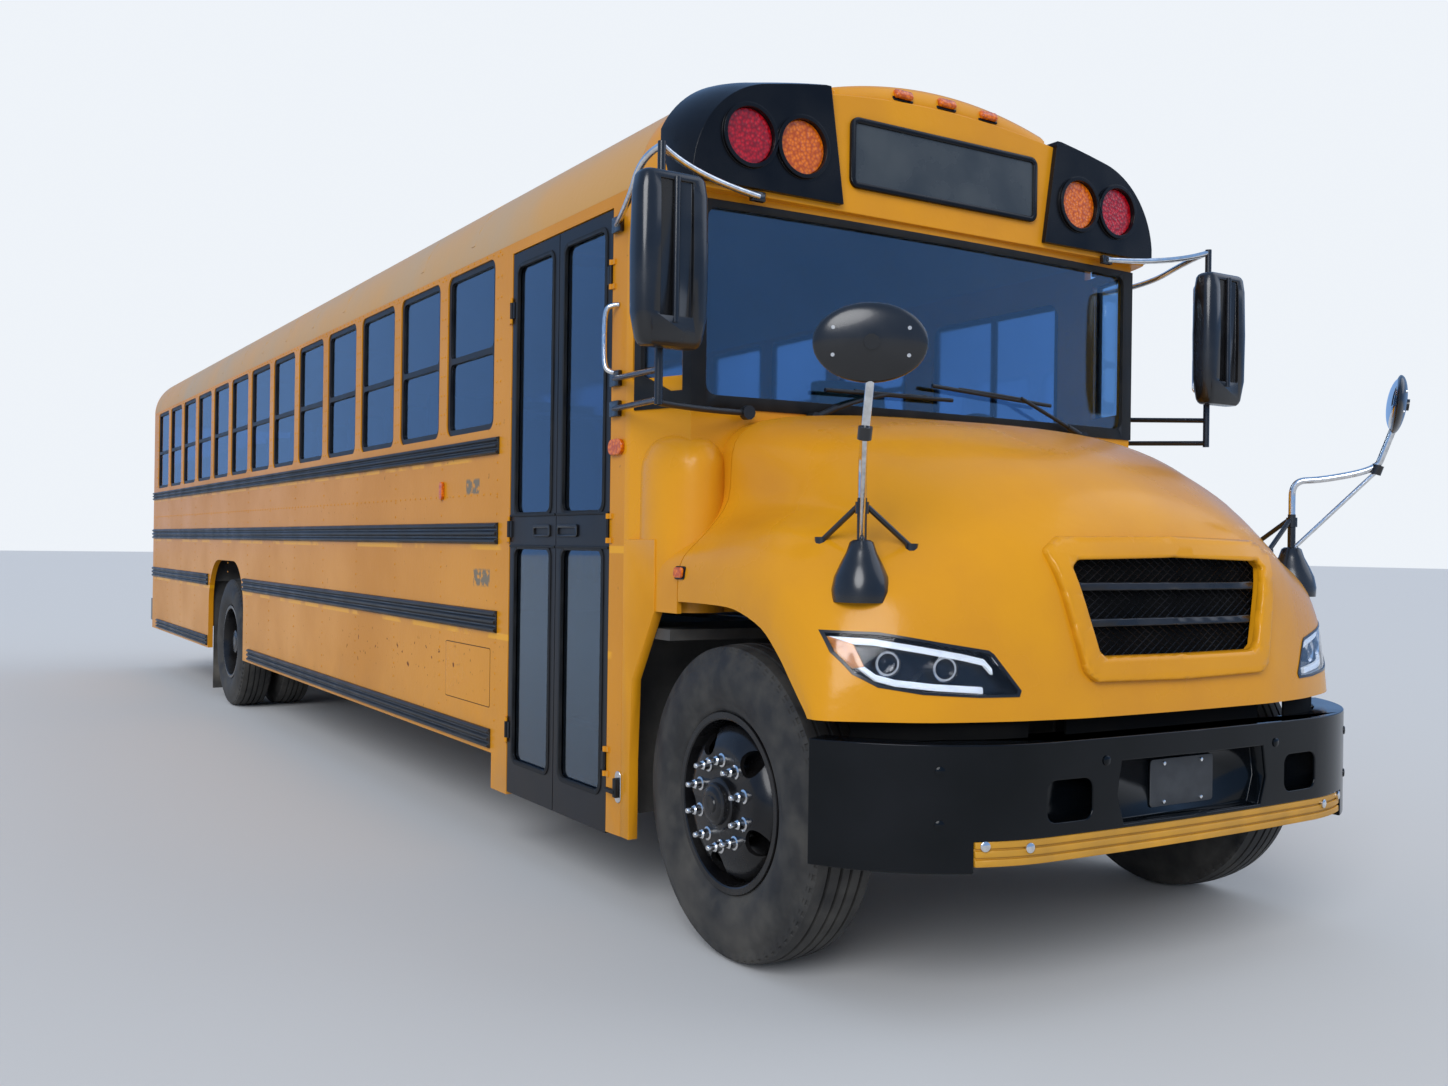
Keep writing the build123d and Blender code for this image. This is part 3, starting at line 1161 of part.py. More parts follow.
BARREL = [(-116, FLANGE), (-104, FLANGE), (-104, RIM_SEAT), (104, RIM_SEAT), (104, FLANGE), (116, FLANGE),
          (116, 276), (60, 262), (-60, 262), (-116, 276)]
for side, name in ((-1, "right"), (1, "left")):
    x = side * FRONT_WHEEL_X
    with BuildPart() as front_tyre:
        add(tyre(x, FRONT_AXLE_Y))
    write(front_tyre, f"tyre_front_{name}")
    with BuildPart() as front_rim:
        add(turned(x, FRONT_AXLE_Y, side, BARREL))
        add(turned(x, FRONT_AXLE_Y, side, [(50, 264), (66, 264), (112, 232), (132, 180), (132, 60), (118, 60),
                                          (118, 174), (98, 222)]))
        add(turned(x, FRONT_AXLE_Y, side, [(-40, 38), (168, 38), (168, 70), (150, 84), (110, 84), (80, 120),
                                          (-40, 120)]))
        add(turned(x, FRONT_AXLE_Y, side, [(122, 0), (172, 0), (172, 62), (122, 62)]))
        add(turned(x, FRONT_AXLE_Y, side, [(-78, 190), (40, 190), (40, 110), (52, 110), (52, 205), (-78, 205)]))
        with BuildSketch(Plane(origin=(x, FRONT_AXLE_Y, HUB_Z), x_dir=(0, 1, 0), z_dir=(side, 0, 0))):
            with PolarLocations(218, 10):
                Circle(26)
        extrude(amount=200, mode=Mode.SUBTRACT)
        nut_plane = Plane(origin=(x + side * 132, FRONT_AXLE_Y, HUB_Z), x_dir=(0, 1, 0), z_dir=(side, 0, 0))
        with BuildSketch(nut_plane):
            with PolarLocations(285.75 / 2, 10, start_angle=18):
                RegularPolygon(17, 6)
        extrude(amount=30)
    write(front_rim, f"rim_front_{name}")
    x = side * REAR_WHEEL_X
    inner_x = x - side * TWIN_SPACING
    with BuildPart() as rear_tyres:
        add(tyre(x, REAR_AXLE_Y))
        add(tyre(inner_x, REAR_AXLE_Y))
    write(rear_tyres, f"tyres_rear_{name}")
    with BuildPart() as rear_rims:
        add(turned(x, REAR_AXLE_Y, side, BARREL))
        add(turned(inner_x, REAR_AXLE_Y, side, BARREL))
        add(turned(x, REAR_AXLE_Y, side, [(-50, 264), (-66, 264), (-130, 225), (-161, 175), (-161, 60), (-148, 60),
                                         (-148, 170), (-116, 216)]))
        add(turned(inner_x, REAR_AXLE_Y, side, [(50, 264), (66, 264), (130, 225), (161, 175), (161, 60), (148, 60),
                                               (148, 170), (116, 216)]))
        add(turned(x, REAR_AXLE_Y, side, [(-420, 50), (80, 50), (80, 95), (-30, 105), (-60, 110), (-420, 110)]))
        with BuildSketch(Plane(origin=(x - side * 148, REAR_AXLE_Y, HUB_Z), x_dir=(0, 1, 0), z_dir=(side, 0, 0))):
            with PolarLocations(285.75 / 2, 10, start_angle=18):
                RegularPolygon(17, 6)
        extrude(amount=30)
    write(rear_rims, f"rims_rear_{name}")
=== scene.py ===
import json
import math

import bpy
from mathutils import Matrix, Vector
from mathutils.bvhtree import BVHTree


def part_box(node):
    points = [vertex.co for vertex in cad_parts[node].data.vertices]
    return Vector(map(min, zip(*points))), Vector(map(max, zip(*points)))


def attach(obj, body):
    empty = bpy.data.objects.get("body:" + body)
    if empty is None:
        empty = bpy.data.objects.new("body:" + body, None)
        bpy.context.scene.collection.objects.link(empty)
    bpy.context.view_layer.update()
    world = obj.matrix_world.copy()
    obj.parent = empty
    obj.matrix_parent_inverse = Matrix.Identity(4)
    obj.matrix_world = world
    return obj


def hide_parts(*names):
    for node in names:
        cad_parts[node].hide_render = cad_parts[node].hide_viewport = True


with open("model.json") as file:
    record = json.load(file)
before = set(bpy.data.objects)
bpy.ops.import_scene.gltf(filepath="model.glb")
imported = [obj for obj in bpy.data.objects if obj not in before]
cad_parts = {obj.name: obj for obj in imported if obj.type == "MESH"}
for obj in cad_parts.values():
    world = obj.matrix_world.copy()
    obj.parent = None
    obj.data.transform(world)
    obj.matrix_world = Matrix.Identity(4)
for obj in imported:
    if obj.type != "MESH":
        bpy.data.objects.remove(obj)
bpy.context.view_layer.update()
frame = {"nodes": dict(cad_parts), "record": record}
SLOT_OF = {part["node"]: part["material_slot"] for part in frame["record"]["subparts"]}
BODY_OF = {node: body for body, nodes in frame["record"]["behaviour"]["bodies"].items() for node in nodes}


# Camera. It stands at the kerb ahead of the bus at chest height and looks back along the entrance side,
# so the front takes the right half of the picture and the long side runs away to the left.
CAMERA_PLACE = (-3.487, -8.997, 1.381)
CAMERA_YAW, CAMERA_PITCH, CAMERA_ROLL = (math.radians(turn) for turn in (31.922, 0.109, 0.786))
CAMERA_LENS, CAMERA_SENSOR = 32.77, 36.0
VIEW_REACH = 400.0
bpy.ops.object.camera_add(location=CAMERA_PLACE)
camera = bpy.context.object
camera.data.lens = CAMERA_LENS
camera.data.sensor_width = CAMERA_SENSOR
camera.data.clip_end = VIEW_REACH
ahead = Vector((math.sin(CAMERA_YAW) * math.cos(CAMERA_PITCH), math.cos(CAMERA_YAW) * math.cos(CAMERA_PITCH),
                math.sin(CAMERA_PITCH)))
level = Vector((math.cos(CAMERA_YAW), -math.sin(CAMERA_YAW), 0.0))
upright = level.cross(ahead)
right = math.cos(CAMERA_ROLL) * level + math.sin(CAMERA_ROLL) * upright
upwards = math.cos(CAMERA_ROLL) * upright - math.sin(CAMERA_ROLL) * level
axes = Matrix((right, upwards, -ahead)).transposed().to_4x4()
camera.matrix_world = Matrix.Translation(CAMERA_PLACE) @ axes
bpy.context.scene.camera = camera
bpy.context.scene.view_settings.view_transform = "Standard"


# Floor and light. A pale studio floor, an even pale room all round that gloss mirrors as a darker sky, and
# two broad soft lamps high up: one ahead on the entrance side and a weaker one on the driver's side.
FLOOR_SIZE = 260.0
FLOOR_COLOUR = (0.62, 0.63, 0.65, 1.0)
FLOOR_ROUGH = 0.85
ROOM_COLOUR, ROOM_LIGHT = (0.80, 0.87, 0.96, 1.0), 0.62
SEEN_COLOUR = (0.86, 0.90, 0.95, 1.0)
MIRRORED_COLOUR = (0.24, 0.42, 0.76, 1.0)
LAMPS = [
    # direction it shines, watts per square metre, softness in degrees
    ((0.66, 0.60, -0.52), 1.9, 35.0),
    ((-0.75, 0.30, -0.60), 0.5, 50.0),
]
bpy.ops.object.select_all(action="DESELECT")
bpy.ops.mesh.primitive_plane_add(size=FLOOR_SIZE, location=(0, 0, 0))
floor_stage = bpy.context.object
floor_stage.name = "studio_floor"
floor_paint = bpy.data.materials.new("studio_floor_paint")
floor_paint.use_nodes = True
floor_shader = floor_paint.node_tree.nodes["Principled BSDF"]
floor_shader.inputs["Base Color"].default_value = FLOOR_COLOUR
floor_shader.inputs["Roughness"].default_value = FLOOR_ROUGH
floor_stage.data.materials.append(floor_paint)

room = bpy.data.worlds.new("studio_room")
room.use_nodes = True
bpy.context.scene.world = room
room_nodes, room_links = room.node_tree.nodes, room.node_tree.links
lit = room_nodes["Background"]
seen, mirrored = room_nodes.new("ShaderNodeBackground"), room_nodes.new("ShaderNodeBackground")
for ground, colour, strength in ((lit, ROOM_COLOUR, ROOM_LIGHT), (seen, SEEN_COLOUR, 1.0),
                                 (mirrored, MIRRORED_COLOUR, 1.0)):
    ground.inputs["Color"].default_value = colour
    ground.inputs["Strength"].default_value = strength
path = room_nodes.new("ShaderNodeLightPath")
either = room_nodes.new("ShaderNodeMath")
either.operation = "ADD"
either.use_clamp = True
room_links.new(path.outputs["Is Camera Ray"], either.inputs[0])
room_links.new(path.outputs["Is Transmission Ray"], either.inputs[1])
mixed = lit
for mask, ground in ((either.outputs[0], seen), (path.outputs["Is Glossy Ray"], mirrored)):
    blend = room_nodes.new("ShaderNodeMixShader")
    for number, output in enumerate((mask, mixed.outputs[0], ground.outputs[0])):
        room_links.new(output, blend.inputs[number])
    mixed = blend
room_links.new(mixed.outputs[0], room_nodes["World Output"].inputs["Surface"])
for direction, power, softness in LAMPS:
    bpy.ops.object.light_add(type="SUN", location=(0, 0, 20))
    lamp = bpy.context.object
    lamp.data.energy = power
    lamp.data.angle = math.radians(softness)
    lamp.rotation_euler = Vector(direction).to_track_quat("-Z", "Y").to_euler()


# Frame rails, cross members and fuel tank. Pressed steel channels riveted together and sprayed black,
# with a film of grey road dust on every face.
ROAD_DUST = (0.23, 0.21, 0.18)
MERGE = 0.00002


def noise(material, size, detail=4.0):
    """Value between 0 and 1 that wanders over patches of that size in metres."""
    tree = material.node_tree
    place = tree.nodes.new("ShaderNodeTexCoord")
    cloud = tree.nodes.new("ShaderNodeTexNoise")
    cloud.inputs["Scale"].default_value = 1.0 / size
    cloud.inputs["Detail"].default_value = detail
    tree.links.new(place.outputs["Object"], cloud.inputs["Vector"])
    return cloud.outputs["Fac"]


def remap(material, value, low, high, to_low=0.0, to_high=1.0):
    """Value stretched from low..high to to_low..to_high, and held at the ends."""
    tree = material.node_tree
    ramp = tree.nodes.new("ShaderNodeMapRange")
    for socket, number in zip(("From Min", "From Max", "To Min", "To Max"), (low, high, to_low, to_high)):
        ramp.inputs[socket].default_value = number
    tree.links.new(value, ramp.inputs["Value"])
    return ramp.outputs["Result"]


def mix_colour(material, mask, under, over):
    """Colour socket that goes from under to over as the mask goes from 0 to 1."""
    tree = material.node_tree
    blend = tree.nodes.new("ShaderNodeMix")
    blend.data_type = "RGBA"
    tree.links.new(mask, blend.inputs[0])
    for socket, colour in ((blend.inputs[6], under), (blend.inputs[7], over)):
        if isinstance(colour, tuple):
            socket.default_value = (*colour, 1.0)
        else:
            tree.links.new(colour, socket)
    return blend.outputs[2]


def finish(name, fresh, worn, patch, rough=0.4, dull=0.55, metal=0.0, grain=0.0, grain_size=0.004, coat=0.0,
           shine=0.5):
    """A coat whose colour and gloss wander between fresh and worn over patches of that size in metres."""
    material = bpy.data.materials.new(name)
    material.use_nodes = True
    tree = material.node_tree
    shader = tree.nodes["Principled BSDF"]
    shader.inputs["Metallic"].default_value = metal
    shader.inputs["Coat Weight"].default_value = coat
    shader.inputs["Coat Roughness"].default_value = 0.06
    shader.inputs["Specular IOR Level"].default_value = shine
    cloud = noise(material, patch, 7.0)
    tone = mix_colour(material, remap(material, cloud, 0.38, 0.66), fresh, worn)
    tree.links.new(tone, shader.inputs["Base Color"])
    tree.links.new(remap(material, cloud, 0.3, 0.7, rough, dull), shader.inputs["Roughness"])
    if grain > 0.0:
        bump = tree.nodes.new("ShaderNodeBump")
        bump.inputs["Strength"].default_value = grain
        bump.inputs["Distance"].default_value = grain_size * 0.5
        tree.links.new(noise(material, grain_size, 3.0), bump.inputs["Height"])
        tree.links.new(bump.outputs["Normal"], shader.inputs["Normal"])
    return material


def layer(material, mask, colour, rough=None):
    """Lay another colour, and gloss, over a material wherever the mask is 1."""
    tree = material.node_tree
    shader = tree.nodes["Principled BSDF"]
    under = shader.inputs["Base Color"].links[0].from_socket
    tree.links.new(mix_colour(material, mask, under, colour), shader.inputs["Base Color"])
    if rough is not None:
        blend = tree.nodes.new("ShaderNodeMix")
        tree.links.new(mask, blend.inputs[0])
        tree.links.new(shader.inputs["Roughness"].links[0].from_socket, blend.inputs[2])
        blend.inputs[3].default_value = rough
        tree.links.new(blend.outputs[0], shader.inputs["Roughness"])
    return material


def along(material, axis, low, high):
    """Value that goes from 0 at low to 1 at high along an axis of the bus."""
    tree = material.node_tree
    place = tree.nodes.new("ShaderNodeTexCoord")
    parts = tree.nodes.new("ShaderNodeSeparateXYZ")
    tree.links.new(place.outputs["Object"], parts.inputs[0])
    return remap(material, parts.outputs[axis], low, high)


def times(material, product, *masks):
    """Product of masks."""
    tree = material.node_tree
    for mask in masks:
        step = tree.nodes.new("ShaderNodeMath")
        step.operation = "MULTIPLY"
        tree.links.new(product, step.inputs[0])
        tree.links.new(mask, step.inputs[1])
        product = step.outputs[0]
    return product


def dusty(material, top, amount=0.6):
    """Road dust that thins out from the ground up to the given height."""
    height = along(material, "Z", top, 0.1)
    patches = remap(material, noise(material, 0.22, 6.0), 0.35, 0.75, 0.0, amount)
    return layer(material, times(material, height, patches), ROAD_DUST, 0.85)


def alone(piece):
    """Make a piece the only selected object."""
    bpy.ops.object.select_all(action="DESELECT")
    piece.select_set(True)
    bpy.context.view_layer.objects.active = piece


def settled(piece):
    """Put a piece's place, turn and size into its mesh."""
    alone(piece)
    bpy.ops.object.transform_apply()
    return piece


def linked(name, data):
    """A new object in the scene with that data, the only one selected."""
    piece = bpy.data.objects.new(name, data)
    bpy.context.scene.collection.objects.link(piece)
    alone(piece)
    return piece


def opened(piece):
    """Open a piece's mesh for editing, with all of it selected."""
    alone(piece)
    bpy.ops.object.mode_set(mode="EDIT")
    bpy.ops.mesh.select_all(action="SELECT")


def altered(piece, kind, **settings):
    """Add a modifier with these settings to a piece and apply it."""
    alone(piece)
    change = piece.modifiers.new(kind.lower(), kind)
    for key, value in settings.items():
        setattr(change, key, value)
    bpy.ops.object.modifier_apply(modifier=change.name)
    return piece


def coat(piece, *materials):
    """Give a piece these materials and no others."""
    piece.data.materials.clear()
    for material in materials:
        piece.data.materials.append(material)
    return piece


def seat(piece, body, slot, *nodes):
    """Settle a finished piece: its place goes into its mesh, and it rides on its body."""
    settled(piece)
    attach(piece, body)
    if nodes:
        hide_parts(*nodes)
    return piece


def skin(node, paint, edge=0.0, angle=38.0):
    """A merged copy of a CAD node, with smooth curves and softened edges, which stands for it."""
    piece = linked(node + "_skin", frame["nodes"][node].data.copy())
    opened(piece)
    bpy.ops.mesh.remove_doubles(threshold=MERGE)
    if edge > 0.0:
        bpy.ops.mesh.dissolve_limited(angle_limit=math.radians(0.4))
    bpy.ops.object.mode_set(mode="OBJECT")
    bpy.ops.mesh.customdata_custom_splitnormals_clear()
    bpy.ops.object.shade_smooth_by_angle(angle=math.radians(angle))
    if edge > 0.0:
        altered(piece, "BEVEL", width=edge, segments=2, limit_method="ANGLE", angle_limit=math.radians(angle),
                harden_normals=True)
    return seat(coat(piece, paint), BODY_OF[node], SLOT_OF[node], node)


frame_black = dusty(finish("frame_black", (0.010, 0.010, 0.011), (0.026, 0.025, 0.023), 0.3, 0.5, 0.75,
                           shine=0.3), 1.1)
for node in ("chassis_frame", "cross_members", "fuel_tank"):
    skin(node, frame_black, 0.003)


# Axles, knuckles and tie rod. Forged and cast iron, painted black with the rough skin of the mould
# showing through, bolted to leaf springs.
cast_iron = dusty(finish("cast_iron_black", (0.03, 0.03, 0.03), (0.07, 0.062, 0.055), 0.12, 0.55, 0.8,
                         grain=0.5, grain_size=0.006), 1.1, 0.7)
for node in ("front_axle", "rear_axle", "knuckle_right", "knuckle_left", "tie_rod"):
    skin(node, cast_iron)


# Engine, gearbox, shaft and exhaust. Grey painted castings and a tube of dull aluminised steel
# that runs back along the driver's side to the rear.
engine_grey = dusty(finish("engine_grey", (0.14, 0.14, 0.14), (0.09, 0.085, 0.08), 0.2, 0.5, 0.75,
                           grain=0.3, grain_size=0.008), 1.1)
exhaust_steel = dusty(finish("exhaust_steel", (0.32, 0.30, 0.28), (0.20, 0.13, 0.08), 0.25, 0.42, 0.7,
                             metal=0.7), 0.9, 0.5)
skin("powertrain", engine_grey, 0.004)
skin("exhaust", exhaust_steel)


# Mud flaps. Plain black rubber sheets hung behind the rear wheels, stiff enough to hang flat,
# with a bloom of road dust over most of their height.
flap_rubber = dusty(finish("flap_rubber", (0.02, 0.02, 0.02), (0.04, 0.038, 0.035), 0.15, 0.7, 0.85,
                           grain=0.2, grain_size=0.004), 1.0, 0.8)
skin("mud_flaps", flap_rubber, 0.002)


# Tyres. Moulded rubber casings: ribbed all-position tread with four grooves, notched shoulders
# and smooth walls with raised rings, on every wheel.
TYRE_RINGS = [
    # offset from the tyre's middle, radius, as one half of the section from the tread out to the bead
    (0.013, 0.5268), (0.015, 0.514), (0.023, 0.514), (0.025, 0.5262), (0.058, 0.5238), (0.060, 0.511),
    (0.068, 0.511), (0.070, 0.5225), (0.104, 0.5165), (0.1135, 0.507), (0.1165, 0.496), (0.119, 0.482),
    (0.127, 0.468), (0.129, 0.464), (0.1322, 0.452), (0.1375, 0.425), (0.1388, 0.4), (0.1368, 0.372),
    (0.1315, 0.350), (0.1302, 0.346), (0.1262, 0.336), (0.1195, 0.322), (0.1185, 0.316), (0.1105, 0.305),
    (0.1045, 0.3003), (0.1035, 0.2875),
]
TYRE_STEPS = 144
NOTCH_EVERY = 2
NOTCH_RIM, NOTCH_SCALE = 0.0035, 0.988
SHOULDER_FROM, SHOULDER_RADII = 0.104, (0.497, 0.512)
HUB_Z = 0.527
TWIN_STEP = 0.161


def lathe(name, rings, steps):
    """Closed form turned about the X axis at the origin, from rings of offset and radius."""
    offset, radius = rings[0]
    bpy.ops.object.select_all(action="DESELECT")
    bpy.ops.mesh.primitive_circle_add(vertices=steps, radius=radius, location=(offset, 0, 0),
                                      rotation=(0, math.pi / 2, 0))
    piece = settled(bpy.context.object)
    piece.name = name
    opened(piece)
    for next_offset, next_radius in [*rings[1:], rings[0]]:
        bpy.ops.mesh.extrude_edges_move(TRANSFORM_OT_translate={"value": (next_offset - offset, 0, 0)})
        scale = next_radius / radius
        bpy.ops.transform.resize(value=(1, scale, scale), center_override=(0, 0, 0))
        offset, radius = next_offset, next_radius
    bpy.ops.mesh.select_all(action="SELECT")
    bpy.ops.mesh.remove_doubles(threshold=0.00005)
    bpy.ops.mesh.normals_make_consistent(inside=False)
    bpy.ops.object.mode_set(mode="OBJECT")
    return piece


def copy_of(piece, name, place, turn=0.0):
    """A copy with its own mesh, moved to place and turned about the Z axis."""
    twin = linked(name, piece.data.copy())
    twin.matrix_world = Matrix.Translation(place) @ Matrix.Rotation(turn, 4, "Z")
    return settled(twin)


def joined(pieces, name):
    """Several meshes made into one."""
    alone(pieces[0])
    for piece in pieces[1:]:
        piece.select_set(True)
    bpy.ops.object.join()
    pieces[0].name = name
    return pieces[0]


def drop(piece):
    """Remove a piece that was only a pattern for copies."""
    bpy.data.objects.remove(piece)


def softened(piece, width, segments=2, angle=30.0):
    """Round the sharp edges of a piece and shade its curves smoothly."""
    if width > 0.0:
        altered(piece, "BEVEL", width=width, segments=segments, limit_method="ANGLE",
                angle_limit=math.radians(angle), harden_normals=True)
    alone(piece)
    bpy.ops.object.shade_smooth_by_angle(angle=math.radians(angle))
    return piece


right_half = [(-offset, radius) for offset, radius in reversed(TYRE_RINGS)]
tyre_pattern = lathe("tyre_pattern", [*right_half, *TYRE_RINGS], TYRE_STEPS)
opened(tyre_pattern)
bpy.ops.mesh.select_mode(type="FACE")
bpy.ops.mesh.select_all(action="DESELECT")
bpy.ops.object.mode_set(mode="OBJECT")
for face in tyre_pattern.data.polygons:
    centre = face.center
    on_shoulder = SHOULDER_RADII[0] < math.hypot(centre.y, centre.z) < SHOULDER_RADII[1]
    turn = int((math.atan2(centre.z, centre.y) / math.tau + 1.0) * TYRE_STEPS)
    face.select = on_shoulder and abs(centre.x) > SHOULDER_FROM and turn % NOTCH_EVERY == 0
bpy.ops.object.mode_set(mode="EDIT")
bpy.ops.mesh.inset(thickness=NOTCH_RIM, depth=0.0, use_individual=True)
bpy.ops.transform.resize(value=(1, NOTCH_SCALE, NOTCH_SCALE), center_override=(0, 0, 0))
bpy.ops.object.mode_set(mode="OBJECT")
softened(tyre_pattern, 0.0, angle=32.0)
tyre_rubber = dusty(finish("tyre_rubber", (0.018, 0.018, 0.019), (0.045, 0.044, 0.042), 0.09, 0.55, 0.8,
                           grain=0.15, grain_size=0.002, shine=0.3), 1.2, 0.22)
coat(tyre_pattern, tyre_rubber)
for node in ("tyre_front_right", "tyre_front_left", "tyres_rear_right", "tyres_rear_left"):
    low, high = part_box(node)
    middle = (low + high) / 2
    offsets = (-TWIN_STEP, TWIN_STEP) if node.startswith("tyres") else (0.0,)
    casings = [copy_of(tyre_pattern, node + "_casing", (middle.x + offset, middle.y, HUB_Z))
               for offset in offsets]
    seat(joined(casings, node + "_tread"), BODY_OF[node], "tyre_rubber", node)
drop(tyre_pattern)


# Wheels. Black steel discs with five round hand holes, welded into drop-centre rims. Ten chromed nuts
# on long studs hold each one against a turned flange, with a stepped oil cap at the middle.
HAND_HOLES = 5
HAND_HOLE = 0.043
HAND_HOLE_TURN = 0.62
HOLE_CIRCLE = 0.212
NUT_CIRCLE = 0.142875
NUT_COUNT = 10
POLE = 0.00002
RIM_RINGS = [
    # offset from the rim's middle, radius, as in every table of rings
    (-0.116, 0.299), (-0.1125, 0.3005), (-0.1045, 0.299), (-0.104, 0.286), (0.104, 0.286), (0.1045, 0.299),
    (0.1125, 0.3005), (0.116, 0.299), (0.116, 0.280), (0.113, 0.275), (0.060, 0.262), (-0.060, 0.262),
    (-0.113, 0.275), (-0.116, 0.280),
]
FRONT_DISC = [
    (0.050, 0.2635), (0.060, 0.2635), (0.092, 0.247), (0.112, 0.229), (0.127, 0.203), (0.132, 0.180),
    (0.132, 0.060), (0.118, 0.060), (0.118, 0.174), (0.112, 0.196), (0.100, 0.216), (0.080, 0.234),
]
REAR_DISC = [
    (-0.050, 0.2635), (-0.066, 0.2635), (-0.104, 0.247), (-0.130, 0.225), (-0.152, 0.198), (-0.161, 0.175),
    (-0.161, 0.060), (-0.148, 0.060), (-0.148, 0.170), (-0.140, 0.189), (-0.116, 0.216), (-0.090, 0.235),
]
FRONT_HUB = [(-0.040, 0.038), (-0.040, 0.120), (0.080, 0.120), (0.118, 0.088), (0.146, 0.086), (0.150, 0.082),
             (0.152, 0.071), (0.166, 0.069), (0.169, 0.065), (0.170, 0.058), (0.1745, 0.052), (0.1765, 0.040),
             (0.1765, 0.030), (0.181, 0.027), (0.182, 0.012), (0.1795, POLE), (-0.040, POLE)]
REAR_HUB = [(-0.420, 0.110), (-0.060, 0.110), (-0.030, 0.105), (0.066, 0.096), (0.078, 0.092), (0.080, 0.084),
            (0.080, 0.060), (0.084, 0.052), (0.085, 0.030), (0.083, POLE), (-0.420, POLE)]
DRUM = [(-0.078, 0.190), (-0.078, 0.205), (0.052, 0.205), (0.052, 0.110), (0.040, 0.110), (0.040, 0.190)]
NUT_RINGS = [(0.0, POLE), (0.0, 0.0235), (0.004, 0.0235), (0.006, 0.0175), (0.026, 0.0165), (0.030, 0.0135),
             (0.031, 0.0105), (0.052, 0.0100), (0.056, 0.0075), (0.057, POLE)]
WHEELS = [
    # node, side, rim's middle across and along the bus, and how far out of that middle the nuts sit
    ("rim_front_right", -1, 1.040, -5.290, 0.132), ("rim_front_left", 1, 1.040, -5.290, 0.132),
    ("rims_rear_right", -1, 1.050, 2.460, -0.148), ("rims_rear_left", 1, 1.050, 2.460, -0.148),
]
rim_black = dusty(finish("wheel_black", (0.003, 0.003, 0.004), (0.009, 0.009, 0.010), 0.12, 0.16, 0.34,
                         coat=0.1, shine=0.3), 0.9, 0.10)
chrome = finish("nut_chrome", (0.80, 0.80, 0.80), (0.62, 0.61, 0.60), 0.02, 0.08, 0.25, metal=1.0)


def carved(piece, *cutters, how="DIFFERENCE"):
    """Take closed forms out of a piece, or keep only what they share with it."""
    for cutter in cutters:
        altered(piece, "BOOLEAN", object=cutter, operation=how, solver="EXACT")
        drop(cutter)
    return piece


def ring_of(count, radius, phase=0.5):
    """Places spread evenly round a circle, as pairs from its middle."""
    turns = [math.tau * (i + phase) / count for i in range(count)]
    return [(radius * math.cos(turn), radius * math.sin(turn)) for turn in turns]


def punched(disc):
    """Cut the ring of round hand holes through a wheel disc."""
    cutters = []
    for y, z in ring_of(HAND_HOLES, HOLE_CIRCLE, HAND_HOLE_TURN):
        bpy.ops.object.select_all(action="DESELECT")
        bpy.ops.mesh.primitive_cylinder_add(vertices=32, radius=HAND_HOLE, depth=0.8, location=(0, y, z),
                                            rotation=(0, math.pi / 2, 0))
        cutters.append(bpy.context.object)
    return carved(disc, joined(cutters, "hand_hole_cutter"))


def wheel_of(name, rings_of_parts, disc):
    """A whole wheel turned about the X axis: rim, hub and drum, with its punched disc."""
    forms = [lathe(name + "_part", rings, 96) for rings in rings_of_parts]
    forms.append(punched(lathe(name + "_disc", disc, 96)))
    return coat(softened(joined(forms, name), 0.0, angle=28.0), rim_black)


nut_pattern = coat(softened(lathe("nut_pattern", NUT_RINGS, 12), 0.0), chrome)
front_pattern = wheel_of("front_wheel_pattern", (RIM_RINGS, FRONT_HUB, DRUM), FRONT_DISC)
rear_pattern = wheel_of("rear_wheel_pattern", (RIM_RINGS, REAR_HUB), REAR_DISC)
inner_disc = [(-offset, radius) for offset, radius in REAR_DISC]
inner_pattern = wheel_of("inner_wheel_pattern", (RIM_RINGS,), inner_disc)
for node, side, wheel_x, wheel_y, nut_face in WHEELS:
    turn = 0.0 if side > 0 else math.pi
    rear = node.startswith("rims")
    pieces = [copy_of(rear_pattern if rear else front_pattern, node, (side * wheel_x, wheel_y, HUB_Z), turn)]
    if rear:
        place = (side * (wheel_x - 2 * TWIN_STEP), wheel_y, HUB_Z)
        pieces.append(copy_of(inner_pattern, node, place, turn))
    seat(joined(pieces, node + "_wheel"), BODY_OF[node], "rim_steel", node)
    nuts = [copy_of(nut_pattern, "nut", (side * (wheel_x + nut_face), wheel_y + y, HUB_Z + z), turn)
            for y, z in ring_of(NUT_COUNT, NUT_CIRCLE)]
    seat(joined(nuts, node + "_nuts"), BODY_OF[node], "steel_grey")
for pattern in (nut_pattern, front_pattern, rear_pattern, inner_pattern):
    drop(pattern)


# Floor of the cabin. Plywood and steel under black ribbed rubber, with boxed housings over the rear wheels
# and three rubber-faced steps inside the entrance.
floor_rubber = dusty(finish("floor_rubber", (0.03, 0.03, 0.03), (0.07, 0.068, 0.065), 0.2, 0.6, 0.8,
                            grain=0.3, grain_size=0.006), 1.3, 0.4)
for node in ("floor", "entry_steps"):
    skin(node, floor_rubber, 0.002)


